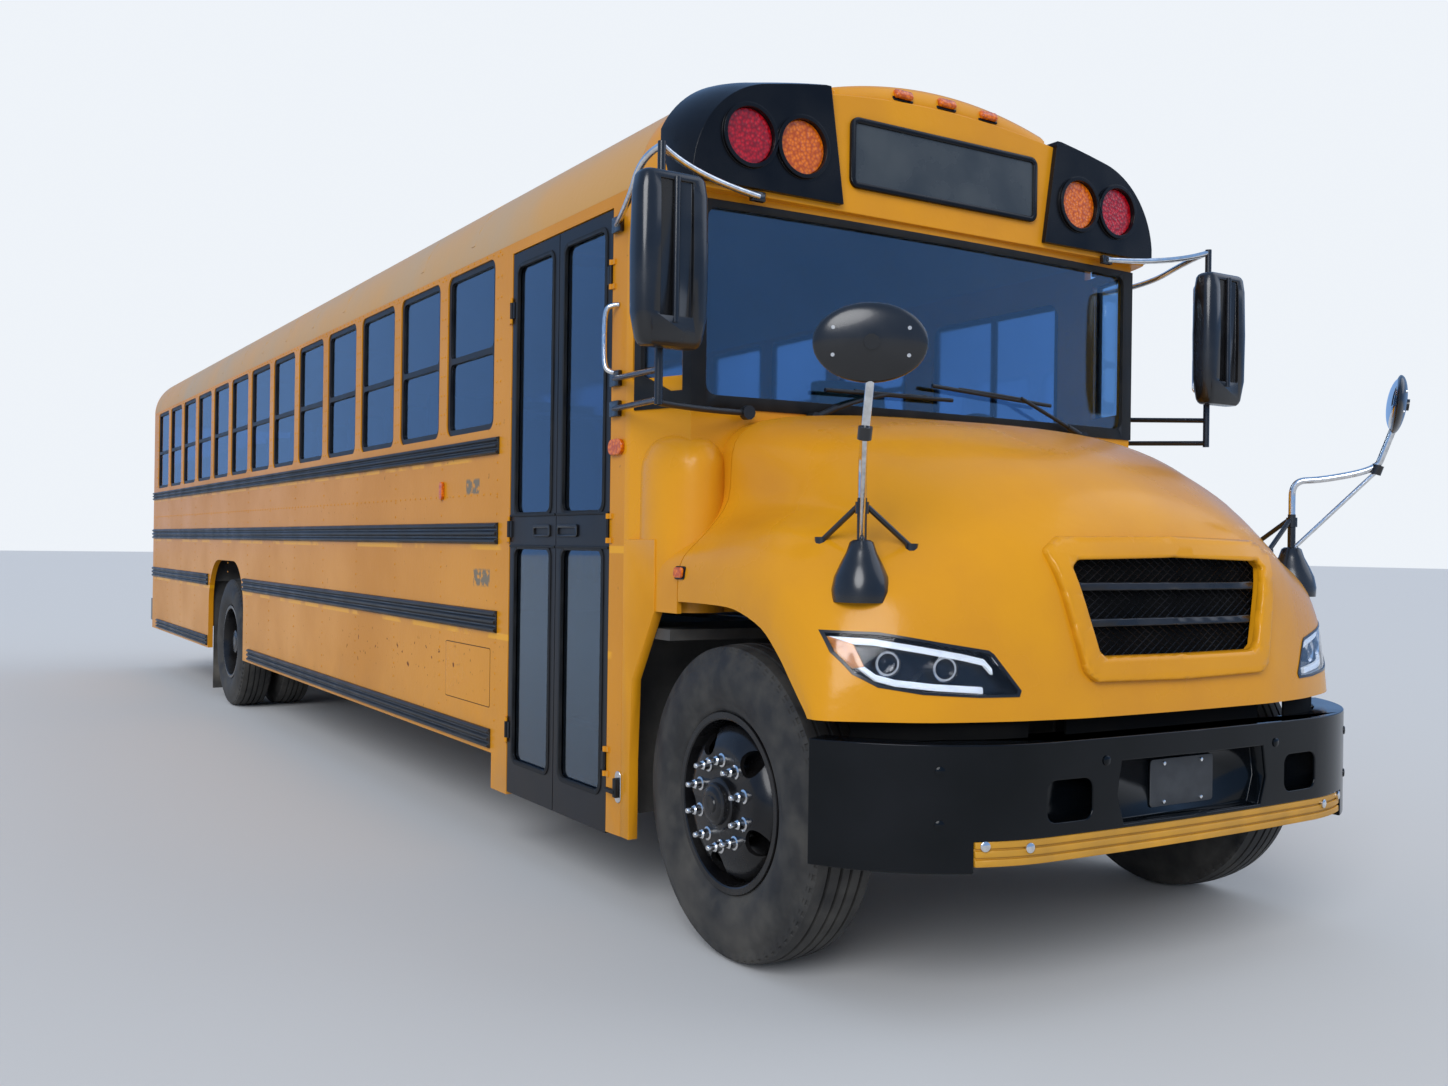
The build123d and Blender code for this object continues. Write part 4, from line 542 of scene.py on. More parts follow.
# Side walls and rear wall. Painted steel panels riveted to the pillars and along every seam: school-bus
# yellow that has faded unevenly, with brighter bands where the rails were painted round, and some rust.
BUS_YELLOW, FADED_YELLOW, FRESH_YELLOW = (0.66, 0.268, 0.004), (0.57, 0.225, 0.008), (0.78, 0.36, 0.004)
RUST, FLECK, PRIMER = (0.16, 0.05, 0.018), (0.40, 0.17, 0.03), (0.20, 0.17, 0.13)
FRESH_BANDS = [(1.345, 1.372), (0.945, 0.973), (1.755, 1.778)]
WORN_PATCHES = [
    # along the bus from and to, height from and to
    (-3.21, -3.04, 1.60, 1.67), (-3.35, -3.15, 1.173, 1.25),
]
RIVET_RADIUS, RIVET_RISE = 0.0065, 0.003
WALL_X, WALL_END = 1.219, 6.08
WINDOWS_START, PITCH = -3.418, 0.72
SILL, HEAD = 1.896, 2.674
WHEEL_HOUSE = (1.7, 3.2)
POSTS, POST_HALF, POST_COUNT = 14, 0.022, 9
LONG_ROWS, LONG_COUNT = (1.60, 2.69), 120
PANEL_ROWS = [
    # low, high, rivets in the row, and whether the wheel's housing takes its place
    (0.58, 0.93, 6, True), (1.11, 1.33, 4, False), (1.51, 1.74, 4, False),
]


def bus_paint(name, fresh, worn, patch=0.9, rough=0.26, dull=0.42):
    """Body enamel: uneven colour, orange-peel gloss and a clear wet look."""
    return finish(name, fresh, worn, patch, rough, dull, grain=0.06, grain_size=0.03, coat=0.08, shine=0.22)


def band(material, axis, low, high, feather=0.008):
    """Mask that is 1 between two places along an axis."""
    return times(material, along(material, axis, low, low + feather),
                 along(material, axis, high + feather, high))


def specks(material, size, share):
    """Mask of small scattered spots, fewer as share falls."""
    return remap(material, noise(material, size, 2.0), 1.0 - share, 1.0 - share + 0.03)


side_yellow = bus_paint("side_yellow", BUS_YELLOW, FADED_YELLOW)
for low, high in FRESH_BANDS:
    ragged = remap(side_yellow, noise(side_yellow, 0.30, 3.0), 0.44, 0.50)
    strip = times(side_yellow, band(side_yellow, "Z", low, high, 0.004), ragged)
    layer(side_yellow, strip, FRESH_YELLOW, 0.35)
rusted = times(side_yellow, specks(side_yellow, 0.045, 0.33),
               times(side_yellow, band(side_yellow, "Z", 0.66, 0.86, 0.05),
                     band(side_yellow, "Y", -3.3, -1.2, 0.3)))
layer(side_yellow, rusted, RUST, 0.8)
layer(side_yellow, specks(side_yellow, 0.03, 0.27), FLECK, 0.6)
for y_low, y_high, z_low, z_high in WORN_PATCHES:
    patch = times(side_yellow, band(side_yellow, "Y", y_low, y_high, 0.012),
                  band(side_yellow, "Z", z_low, z_high, 0.012), along(side_yellow, "X", -1.10, -1.15),
                  remap(side_yellow, noise(side_yellow, 0.035, 4.0), 0.42, 0.50))
    layer(side_yellow, patch, PRIMER, 0.8)
dusty(side_yellow, 0.75, 0.45)
for node in ("side_wall_right", "side_wall_left", "rear_wall", "emergency_door"):
    skin(node, side_yellow, 0.002)


def rivet_rows(name, rows, body, paint, slot):
    """Low domed rivets along straight rows: each row is start, end, count and outward direction."""
    heads = []
    bpy.ops.object.select_all(action="DESELECT")
    bpy.ops.mesh.primitive_uv_sphere_add(segments=8, ring_count=6, radius=RIVET_RADIUS, location=(0, 0, 0))
    pattern = bpy.context.object
    pattern.data.materials.append(paint)
    bpy.ops.object.shade_smooth()
    for start, end, count, outward in rows:
        turn = Vector((0, 0, 1)).rotation_difference(Vector(outward)).to_matrix().to_4x4()
        flat = Matrix.Diagonal((1.0, 1.0, RIVET_RISE / RIVET_RADIUS, 1.0))
        for i in range(count):
            place = Vector(start).lerp(Vector(end), i / max(count - 1, 1))
            head = bpy.data.objects.new("rivet", pattern.data)
            bpy.context.scene.collection.objects.link(head)
            head.matrix_world = Matrix.Translation(place) @ turn @ flat
            heads.append(head)
    drop(pattern)
    alone(heads[0])
    for head in heads[1:]:
        head.select_set(True)
    bpy.ops.object.make_single_user(type="SELECTED_OBJECTS", object=False, obdata=True)
    bpy.ops.object.join()
    heads[0].name = name
    return seat(heads[0], body, slot)


for side, name in ((-1, "right"), (1, "left")):
    x, out, rows = side * WALL_X, (side, 0, 0), []
    for i in range(POSTS):
        y = WINDOWS_START + PITCH * i
        rows += [((x, y + offset, SILL + 0.02), (x, y + offset, HEAD), POST_COUNT, out)
                 for offset in (-POST_HALF, POST_HALF)]
        rows += [((x, y, low), (x, y, high), count, out) for low, high, count, housing in PANEL_ROWS
                 if not (housing and WHEEL_HOUSE[0] < y < WHEEL_HOUSE[1])]
    rows += [((x, WINDOWS_START, z), (x, WALL_END, z), LONG_COUNT, out) for z in LONG_ROWS]
    rivet_rows("wall_rivets_" + name, rows, "bus", side_yellow, "bus_yellow")


# Service hatch. A small flush steel door low in the entrance side, in the body's enamel, laid over
# a slightly larger plate in a dark tone that shows round it as a seam.
HATCH_SIZE, HATCH_CENTRE = (0.575, 0.270), (-3.0775, 0.765)
seam_shadow = finish("seam_shadow", (0.10, 0.04, 0.006), (0.05, 0.02, 0.004), 0.1, 0.8, 0.9)


def net(name, rows, closed=False):
    """Sheet through rows of points; closed joins each row's ends and caps the first and last rows."""
    width = len(rows[0])
    faces = []
    for i in range(len(rows) - 1):
        for j in range(width if closed else width - 1):
            k = (j + 1) % width
            faces.append((i * width + j, i * width + k, (i + 1) * width + k, (i + 1) * width + j))
    if closed:
        faces += [list(range(width)), [(len(rows) - 1) * width + j for j in reversed(range(width))]]
    mesh = bpy.data.meshes.new(name)
    mesh.from_pydata([point for row in rows for point in row], [], faces)
    piece = linked(name, mesh)
    if closed:
        opened(piece)
        bpy.ops.mesh.normals_make_consistent(inside=False)
        bpy.ops.object.mode_set(mode="OBJECT")
    return piece


def prism(name, outline, low, high, axis=1):
    """Closed form: an outline in the plane across an axis, pulled from low to high along it."""
    ends = []
    for place in (low, high):
        ends.append([Vector((*pair[:axis], place, *pair[axis:])) for pair in outline])
    return net(name, ends, closed=True)


def rounded(width, height, corner, centre=(0.0, 0.0), steps=6):
    """Outline of a rectangle with round corners."""
    outline = []
    for turn, (x, z) in enumerate(((1, 1), (-1, 1), (-1, -1), (1, -1))):
        for i in range(steps + 1):
            angle = (turn + i / steps) * math.pi / 2
            outline.append((centre[0] + x * (width / 2 - corner) + corner * math.cos(angle),
                            centre[1] + z * (height / 2 - corner) + corner * math.sin(angle)))
    return outline


for name, less, corner, out, back, edge, paint in (
        ("service_hatch", 0.008, 0.010, -1.2205, -1.2150, 0.0008, side_yellow),
        ("hatch_seam", 0.0, 0.012, -1.2194, -1.2140, 0.0, seam_shadow)):
    outline = rounded(HATCH_SIZE[0] - less, HATCH_SIZE[1] - less, corner, HATCH_CENTRE)
    seat(coat(softened(prism(name, outline, out, back, axis=0), edge), paint), "bus", "bus_yellow")


# Roof. Galvanised steel bows and skins in the same enamel, dulled by sun and dust,
# with a shallow lapped seam over every bow and a rain gutter above the windows.
SEAM_PROFILE = [
    # along the bus, proud of the roof
    (-0.022, -0.004), (-0.020, 0.0025), (0.020, 0.0025), (0.022, -0.004),
]
ROOF_BOWS = 13
ROOF_CORE, ROOF_REACH = 1.9, 2.4
SEAM_TURNS = range(36, 145, 3)
HATCH_PLACES, HATCH_REACH = (-1.890, 3.310), 0.42
roof_yellow = bus_paint("roof_yellow", (0.58, 0.31, 0.08), (0.46, 0.33, 0.20), 1.2, 0.36, 0.55)
skin("roof", roof_yellow)
for node in ("roof_hatch_front", "roof_hatch_rear"):
    skin(node, roof_yellow, 0.006)


def tree_of(*meshes):
    """Search tree over the faces of pieces."""
    places, faces = [], []
    for piece in meshes:
        faces += [[len(places) + index for index in face.vertices] for face in piece.data.polygons]
        places += [vertex.co for vertex in piece.data.vertices]
    return BVHTree.FromPolygons(places, faces)


roof_face = tree_of(frame["nodes"]["roof"])
bows = []
for i in range(ROOF_BOWS):
    y = WINDOWS_START + PITCH * (i + 0.5)
    if any(abs(y - place) < HATCH_REACH for place in HATCH_PLACES):
        continue
    rows = []
    for turn in SEAM_TURNS:
        way = Vector((math.cos(math.radians(turn)), 0, math.sin(math.radians(turn))))
        place, out = roof_face.ray_cast(Vector((0, y, ROOF_CORE)) + way * ROOF_REACH, -way)[:2]
        rows.append([place + out * rise + Vector((0, aside, 0)) for aside, rise in SEAM_PROFILE])
    bows.append(softened(net("roof_seam", rows, closed=True), 0.0))
seat(coat(joined(bows, "roof_seams"), roof_yellow), "bus", "roof_yellow")


# Front cap. Yellow moulding over the windshield, carrying a blank destination panel in a rubber
# surround, black pods round the four warning lamps, and three amber clearance lamps.
BROW = [
    # along the bus, rise over the brow's line
    (-5.006, -0.098), (-5.018, -0.085), (-5.021, -0.060), (-5.015, -0.024), (-4.998, -0.006), (-4.960, 0.0),
    (-4.880, -0.010), (-4.800, -0.040), (-4.740, -0.075), (-4.740, -0.120), (-4.960, -0.130),
]
BROW_HALF, BROW_TOP, BROW_FALL = 0.548, 3.187, 0.245
BROW_STEPS = 40
SIGN_CENTRE = (0, 2.869)
CLEARANCE_LAMPS = [
    # place near the cap or the roof, and the way that the lamp faces
    *[((x, -5.010, z), (0, -0.90, 0.44)) for x, z in ((-0.221, 3.128), (0.0, 3.136), (0.221, 3.128))],
    *[((side * 1.163, y, 2.840), (side * 0.93, 0, 0.37)) for y in (-4.629, 0.810) for side in (-1, 1)],
]
# Painted light: the cap's yellow is the body's yellow painted a little brighter, for the light on the front.
# The cowl takes it too.
cap_yellow_with_painted_light = bus_paint("cap_yellow_with_painted_light", (0.70, 0.300, 0.008), (0.62, 0.255, 0.012), 0.5)
skin("front_cap", cap_yellow_with_painted_light, 0.004)
pod_black = finish("pod_black", (0.002, 0.002, 0.003), (0.007, 0.007, 0.008), 0.3, 0.16, 0.32, shine=0.22)
skin("lamp_pods", pod_black, 0.003)


def framing(name, outer, inner, low, high, axis=1):
    """Closed form of an outline with another one cut through it."""
    return carved(prism(name, outer, low, high, axis), prism("cut", inner, low - 0.1, high + 0.1, axis))


rows = []
for i in range(BROW_STEPS + 1):
    x = BROW_HALF * (2 * i / BROW_STEPS - 1)
    rows.append([Vector((x, y, BROW_TOP - BROW_FALL * x * x + rise)) for y, rise in BROW])
seat(coat(softened(net("cap_brow", rows, closed=True), 0.006, 3, 50.0), cap_yellow_with_painted_light), "bus", "bus_yellow")
sign_dark = finish("sign_dark", (0.030, 0.036, 0.040), (0.048, 0.056, 0.060), 0.25, 0.2, 0.35)
sign = prism("sign_panel", rounded(0.922, 0.224, 0.014, SIGN_CENTRE), -5.036, -5.026)
seat(coat(softened(sign, 0.001), sign_dark), "bus", "lamp_black")
surround = framing("sign_surround", rounded(0.966, 0.268, 0.036, SIGN_CENTRE),
                   rounded(0.920, 0.222, 0.014, SIGN_CENTRE), -5.044, -5.026)
seat(coat(softened(surround, 0.005, 3), pod_black), "bus", "lamp_black")


def lens(name, colour, painted_glow, cells):
    """Moulded lens with a prism pattern under a clear polish, with a painted glint and glow: the prism cells
    are painted brighter towards the glow colour, and the lens gives off a faint light.
    """
    material = finish(name, colour, tuple(c * 0.6 for c in colour), 0.05, 0.12, 0.22, coat=0.15)
    tree = material.node_tree
    shader = tree.nodes["Principled BSDF"]
    place = tree.nodes.new("ShaderNodeTexCoord")
    prisms = tree.nodes.new("ShaderNodeTexVoronoi")
    prisms.inputs["Scale"].default_value = cells
    tree.links.new(place.outputs["Object"], prisms.inputs["Vector"])
    bump = tree.nodes.new("ShaderNodeBump")
    bump.inputs["Strength"].default_value = 0.7
    bump.inputs["Distance"].default_value = 0.002
    tree.links.new(prisms.outputs["Distance"], bump.inputs["Height"])
    tree.links.new(bump.outputs["Normal"], shader.inputs["Normal"])
    # Painted glint and glow: each prism cell is painted brighter towards the glow colour, and the same colour
    # shines faintly.
    lit = mix_colour(material, remap(material, prisms.outputs["Distance"], 0.1, 0.7), painted_glow, colour)
    tree.links.new(lit, shader.inputs["Base Color"])
    tree.links.new(lit, shader.inputs["Emission Color"])
    shader.inputs["Emission Strength"].default_value = 0.06
    return material


red_lens = lens("red_lens", (0.20, 0.001, 0.004), (0.52, 0.004, 0.012), 75.0)
amber_lens = lens("amber_lens", (0.44, 0.07, 0.001), (0.80, 0.19, 0.002), 75.0)


def facing(place, out, side_on):
    """Frame at a place whose Z points out and whose X runs along side_on."""
    out = Vector(out).normalized()
    level_way = (Vector(side_on) - Vector(side_on).dot(out) * out).normalized()
    return Matrix.Translation(place) @ Matrix((level_way, out.cross(level_way), out)).transposed().to_4x4()


def placed(piece, frame_of):
    """Move a piece that was made at the origin into a frame."""
    piece.matrix_world = frame_of
    return settled(piece)


def small_lamps(name, frames, width, height, back, face, edge, segments, paint):
    """Small lamps, or their bases, all alike: one in each frame."""
    forms = []
    for frame_of in frames:
        form = softened(prism("lamp", rounded(width, height, 0.010), back, face, axis=2), edge, segments)
        forms.append(coat(placed(form, frame_of), paint))
    return joined(forms, name)


body_face = tree_of(frame["nodes"]["front_cap"], frame["nodes"]["roof"])
lamp_frames = []
for place, out in CLEARANCE_LAMPS:
    if out[0] == 0:
        lamp_frames.append(facing(place, out, (1, 0, 0)))
    else:
        lamp_frames.append(facing(body_face.find_nearest(Vector(place))[0], out, (0, 1, 0)))
lamps = small_lamps("clearance_lamps", lamp_frames, 0.088, 0.034, 0.004, 0.026, 0.008, 3, amber_lens)
bases = small_lamps("clearance_lamp_bases", lamp_frames, 0.104, 0.046, -0.012, 0.006, 0.003, 3, pod_black)
seat(lamps, "bus", "lens_amber")
seat(bases, "bus", "lamp_black")
skin("red_lamps", red_lens, 0.004)
skin("amber_lamps", amber_lens, 0.004)


# Glass. Laminated windshield and toughened side panes in a grey tint, polished so that they mirror the sky,
# in the windshield, side windows, both entrance leaves and the emergency door. Their tints are painted blue,
# a painted reflection of the sky.
def glass(name, tint, rough=0.02, sky=(1.0, 1.0, 1.0), strength=1.5):
    """Polished pane with a tint, where blue is a painted reflection of the sky, which mirrors what is round
    it in the colour of the sky.
    """
    material = finish(name, tint, tuple(c * 0.9 for c in tint), 0.6, rough, rough + 0.03)
    shader = material.node_tree.nodes["Principled BSDF"]
    shader.inputs["Transmission Weight"].default_value = 1.0
    shader.inputs["Specular Tint"].default_value = (*sky, 1.0)
    shader.inputs["IOR"].default_value = strength
    return material


# Painted reflection: the blue in both tints stands for the sky mirrored in the panes.
screen_glass = glass("screen_glass", (0.62, 0.78, 0.92), sky=(0.60, 0.80, 1.0), strength=1.8)
side_glass = glass("side_glass", (0.20, 0.32, 0.50), sky=(0.55, 0.78, 1.0), strength=2.0)
skin("windshield", screen_glass)
for node in ("window_glass_right", "window_glass_left", "door_glass_front", "door_glass_rear",
             "emergency_glass"):
    skin(node, side_glass)


# Window sashes. Extruded aluminium in black anodising, two panes high, screwed into each opening,
# with the upper pane's meeting rail across the middle.
sash_black = finish("sash_black", (0.006, 0.006, 0.007), (0.018, 0.018, 0.020), 0.2, 0.35, 0.5, shine=0.3)
skin("window_frames", sash_black, 0.002)


# Rub rails. Rolled steel strips in satin black, pressed into ribs along their length, scuffed to grey.
# Four rows are bolted along each wall, and the lower two stop at the rear wheel's opening.
RAIL_PROFILE = [
    # share of the height, proud of the wall
    (0, 0), (0.03, 0.012), (0.10, 0.020), (0.20, 0.020), (0.28, 0.008), (0.36, 0.008), (0.44, 0.020),
    (0.56, 0.020), (0.64, 0.008), (0.72, 0.008), (0.80, 0.020), (0.90, 0.020), (0.97, 0.012), (1, 0),
]
RAILS = [
    # low, high, spans along the bus
    (1.778, 1.858, [(-3.440, 6.110)]),
    (1.372, 1.471, [(-3.440, 6.110)]),
    (0.973, 1.074, [(-3.440, 1.740), (3.150, 6.110)]),
    (0.448, 0.537, [(-3.380, 1.536), (3.150, 5.815)]),
]
rail_black = dusty(finish("rail_black", (0.006, 0.006, 0.007), (0.020, 0.020, 0.020), 0.25, 0.28, 0.5,
                          shine=0.4), 0.6, 0.3)
rails = []
for side in (-1, 1):
    for low, high, spans in RAILS:
        outline = [(side * (WALL_X + proud), low + (high - low) * share) for share, proud in RAIL_PROFILE]
        for start, end in spans:
            rails.append(softened(prism("rub_rail", outline, start, end), 0.002, angle=25.0))
seat(coat(joined(rails, "rub_rail_strips"), rail_black), "bus", "satin_black", "rub_rails")


# Entrance door. Two leaves of black aluminium, each with an upper and a lower pane set in a rubber band,
# a rubber strip above and below its middle rail, and a recessed pull.
DOOR_LEAVES = [
    # body, leaf, leaf from and to along the bus, pull from and to
    ("door_front", "front", -4.526, -4.058, -4.260, -4.070),
    ("door_rear", "rear", -4.044, -3.576, -4.000, -3.830),
]
LEAF_X = -1.217
LEAF_PANES = [(0.430, 1.360), (1.505, 2.587)]
LEAF_STRIPS = (1.366, 1.499)
door_black = finish("door_black", (0.006, 0.006, 0.007), (0.018, 0.018, 0.020), 0.3, 0.3, 0.5, shine=0.3)
for node in ("door_leaf_front", "door_leaf_rear"):
    skin(node, door_black, 0.003)
seal_black = finish("seal_black", (0.006, 0.006, 0.006), (0.014, 0.014, 0.014), 0.1, 0.45, 0.65, shine=0.3)
for body, leaf, low, high, pull_low, pull_high in DOOR_LEAVES:
    middle = (low + high) / 2
    strips = [prism("leaf_strip", rounded(high - low, 0.010, 0.003, (middle, z)), LEAF_X - 0.006, LEAF_X,
                    axis=0) for z in LEAF_STRIPS]
    for z_low, z_high in LEAF_PANES:
        tall, centre = z_high - z_low, (middle, (z_low + z_high) / 2)
        strips.append(framing("pane_rubber", rounded(0.396, tall + 0.024, 0.050, centre),
                              rounded(0.358, tall - 0.014, 0.034, centre), LEAF_X - 0.005, LEAF_X + 0.010,
                              axis=0))
    strips = [coat(softened(piece, 0.002), seal_black) for piece in strips]
    seat(joined(strips, "leaf_rubbers_" + leaf), body, "satin_black")
    wide, centre = pull_high - pull_low, (pull_low + pull_high) / 2
    pull = framing("door_pull", rounded(wide, 0.050, 0.012, (centre, 1.432)),
                   rounded(wide - 0.026, 0.026, 0.008, (centre, 1.430)), LEAF_X - 0.008, LEAF_X, axis=0)
    seat(coat(softened(pull, 0.002), rail_black), body, "satin_black")


# Entrance fittings. A chromed grab bar on the door pillar, an oval plate and a latch with a rubber handle
# low on the post, and light metal nosings on the three steps.
GRAB_BAR = [
    # places along its middle line
    (-1.219, -4.590, 2.278), (-1.250, -4.575, 2.276), (-1.262, -4.560, 2.250), (-1.262, -4.556, 2.150),
    (-1.262, -4.560, 2.050), (-1.250, -4.575, 2.024), (-1.219, -4.590, 2.021),
]
LATCH_PLATE = (-1.219, -4.638, 0.478)
LATCH = [((-1.240, -4.652, 0.440), (-1.222, -4.626, 0.512)),
         ((-1.244, -4.640, 0.452), (-1.228, -4.566, 0.470))]
STEP_EDGES = [(-0.944, 0.600), (-0.709, 0.840), (-0.474, 1.080)]


def rod(name, points, radius, paint, smooth=True):
    """Round bar along a line through points, with closed ends."""
    line = bpy.data.curves.new(name, "CURVE")
    line.dimensions = "3D"
    line.bevel_depth = radius
    line.bevel_resolution = 3
    line.resolution_u = 8
    line.use_fill_caps = True
    run = line.splines.new("NURBS" if smooth else "POLY")
    run.points.add(len(points) - 1)
    for place, point in zip(run.points, points):
        place.co = (*point, 1.0)
    if smooth:
        run.order_u = 3
        run.use_endpoint_u = True
    linked(name, line)
    bpy.ops.object.convert(target="MESH")
    return coat(softened(bpy.context.object, 0.0, angle=50.0), paint)


def boxed(low, high):
    """Plain closed box between two corners."""
    outline = [(low[0], low[2]), (high[0], low[2]), (high[0], high[2]), (low[0], high[2])]
    return prism("box", outline, low[1], high[1])


bright = [placed(prism("latch_plate", rounded(0.046, 0.118, 0.022), 0.0, 0.005, axis=2),
                 facing(LATCH_PLATE, (-1, 0, 0), (0, -1, 0)))]
bright += [boxed((x - 0.002, -4.500, z - 0.022), (x + 0.020, -3.602, z + 0.003)) for x, z in STEP_EDGES]
bright = [coat(softened(piece, 0.002), chrome) for piece in bright]
seat(joined([rod("grab_bar", GRAB_BAR, 0.010, chrome), *bright], "entrance_brightwork"), "bus", "steel_grey")
latch = [softened(boxed(*corners), 0.004) for corners in LATCH]
seat(coat(joined(latch, "post_latch"), seal_black), "bus", "satin_black")


# Hood. One glass-fibre moulding with both fenders, in glossy yellow gelcoat, hinged at its nose. Its face is
# a smooth net through measured places, with the grille's raised surround on it and the openings cut through.
HOOD_COLUMNS = [
    # from the arch lip over the fender and the crease to the middle: millimetres across, behind axle, up
    [(1213, 240, 1185), (1213, 60, 1185), (1213, -120, 1176), (1213, -280, 1125), (1213, -380, 1045),
     (1213, -440, 980), (1213, -490, 925), (1213, -520, 893), (1213, -535, 873)],
    [(1213, 240, 1232), (1213, 50, 1233), (1213, -140, 1226), (1213, -315, 1170), (1213, -420, 1090),
     (1213, -485, 1015), (1213, -535, 945), (1213, -562, 902), (1211, -575, 873)],
    [(1207, 240, 1300), (1205, 30, 1310), (1200, -180, 1302), (1193, -370, 1235), (1186, -480, 1150),
     (1181, -555, 1055), (1179, -595, 970), (1178, -610, 915), (1177, -618, 873)],
    [(1180, 240, 1352), (1170, 20, 1370), (1158, -200, 1370), (1138, -410, 1305), (1115, -560, 1205),
     (1098, -635, 1095), (1088, -668, 990), (1082, -682, 920), (1080, -689, 873)],
    [(1097, 240, 1430), (1090, 0, 1448), (1072, -210, 1448), (1040, -450, 1380), (1000, -640, 1262),
     (970, -722, 1130), (948, -756, 1005), (938, -772, 925), (934, -780, 873)],
    [(1010, 240, 1545), (965, -110, 1530), (935, -290, 1500), (885, -520, 1425), (815, -715, 1305),
     (765, -792, 1170), (730, -826, 1030), (715, -845, 935), (708, -856, 873)],
    [(985, 240, 1750), (910, -105, 1672), (860, -310, 1583), (785, -540, 1480), (665, -750, 1380),
     (610, -825, 1240), (565, -858, 1080), (545, -876, 950), (538, -887, 873)],
    [(840, 240, 1838), (790, -110, 1755), (740, -320, 1668), (665, -550, 1560), (560, -755, 1435),
     (505, -838, 1310), (460, -870, 1130), (438, -888, 965), (430, -901, 873)],
    [(480, 240, 1875), (450, -110, 1820), (420, -325, 1752), (380, -560, 1655), (325, -755, 1520),
     (295, -842, 1385), (272, -870, 1180), (260, -892, 980), (256, -908, 873)],
    [(0, 240, 1885), (0, -110, 1840), (0, -325, 1782), (0, -560, 1690), (0, -752, 1558),
     (0, -844, 1415), (0, -872, 1195), (0, -895, 990), (0, -912, 873)],
]
HEADLAMP = [(1.170, 1.135), (1.054, 1.133), (0.884, 1.102), (0.756, 1.081), (0.741, 1.070), (0.663, 0.962),
            (0.671, 0.944), (0.798, 0.944), (0.961, 0.954), (1.070, 0.973), (1.126, 1.009), (1.163, 1.071)]
GRILLE_MOUTH = [(0, 1.362), (0.430, 1.352), (0.456, 1.330), (0.376, 1.072), (0.352, 1.056), (0, 1.054)]
GRILLE_FRAME = [(0, 1.432), (0.470, 1.424), (0.536, 1.380), (0.436, 1.010), (0.398, 0.980), (0, 0.974)]
SHELL = 0.018
HOOD_PARTS = 4
HOOD_PIVOT = (-6.110, 0.690)
HOOD_ARM = [(0.013, -0.013), (0.148, 0.122), (0.148, 0.263), (-0.052, 0.263), (-0.052, 0.227), (0.112, 0.227),
            (0.112, 0.138), (-0.013, 0.013)]
ARM_X, ARM_HALF = 0.525, 0.018
AHEAD_Y = -8.0


def spot(across, behind, up):
    """Place in metres from millimetres across, behind the front axle and up."""
    return Vector((across / 1000, behind / 1000 - 5.290, up / 1000))


def eased(points, parts):
    """Smooth run through points, each span cut into parts."""
    run = []
    for i in range(len(points) - 1):
        start, end = points[i], points[i + 1]
        before = points[i - 1] if i else start * 2 - end
        after = points[i + 2] if i + 2 < len(points) else end * 2 - start
        leave, arrive = (end - before) * 0.45, (after - start) * 0.45
        for k in range(parts):
            t = k / parts
            run.append(start * (2 * t**3 - 3 * t**2 + 1) + leave * (t**3 - 2 * t**2 + t)
                       + end * (3 * t**2 - 2 * t**3) + arrive * (t**3 - t**2))
    return [*run, points[-1]]


def across(outline):
    """Outline that starts and ends on the middle plane, continued on the other side."""
    return outline + [(-x, z) for x, z in reversed(outline) if x > 0]


def sided(outline, side):
    """Outline of the driver's side as it is (1) or on the entrance side (-1)."""
    return [(side * x, z) for x, z in outline]


def struck(face, x, z):
    """Place, and outward direction, where a face is met from straight ahead of the bus."""
    return face.ray_cast(Vector((x, AHEAD_Y, z)), Vector((0, 1, 0)))[:2]


def sliced(piece, step, axes=(0, 2)):
    """Cut a piece through, step apart, so that it can follow a curved face."""
    corners = [Vector(corner) for corner in piece.bound_box]
    opened(piece)
    for axis in axes:
        low, high = min(corner[axis] for corner in corners), max(corner[axis] for corner in corners)
        count = max(int((high - low) / step), 1)
        for i in range(1, count):
            place, normal = [0.0, 0.0, 0.0], [0.0, 0.0, 0.0]
            place[axis], normal[axis] = low + (high - low) * i / count, 1.0
            bpy.ops.mesh.select_all(action="SELECT")
            bpy.ops.mesh.bisect(plane_co=place, plane_no=normal)
    bpy.ops.object.mode_set(mode="OBJECT")
    return piece


def laid_on(piece, face):
    """Press a flat upright piece onto a face of the front: its own y is the depth behind that face."""
    for vertex in piece.data.vertices:
        hit = struck(face, vertex.co.x, vertex.co.z)[0]
        if hit is None:
            hit = face.find_nearest(Vector((vertex.co.x, -6.0, vertex.co.z)))[0]
        vertex.co.y += hit.y
    return piece


hood_rows = []
for i in range(len(HOOD_COLUMNS[0])):
    half = [spot(*column[i]) for column in HOOD_COLUMNS]
    half += [Vector((-point.x, point.y, point.z)) for point in reversed(half[:-1])]
    hood_rows.append(eased(half, HOOD_PARTS))
hood_net = [list(row) for row in zip(*(eased(list(column), HOOD_PARTS) for column in zip(*hood_rows)))]
hood = net("hood_moulding", hood_net)
hood_face = tree_of(hood)
altered(hood, "SOLIDIFY", thickness=SHELL, offset=-1.0)
cuts = (across(GRILLE_MOUTH), HEADLAMP, sided(HEADLAMP, -1))
carved(hood, *[prism("cut", outline, -6.30, -5.71) for outline in cuts])
softened(hood, 0.0, angle=40.0)
surround = framing("grille_surround", across(GRILLE_FRAME), across(GRILLE_MOUTH), -0.024, 0.012)
laid_on(sliced(softened(surround, 0.011, 3), 0.03), hood_face)
softened(surround, 0.0, angle=40.0)
hood_yellow = bus_paint("hood_yellow", (0.66, 0.290, 0.008), (0.57, 0.238, 0.014), 0.6, 0.2, 0.34)
pieces = [coat(hood, hood_yellow), coat(surround, hood_yellow)]
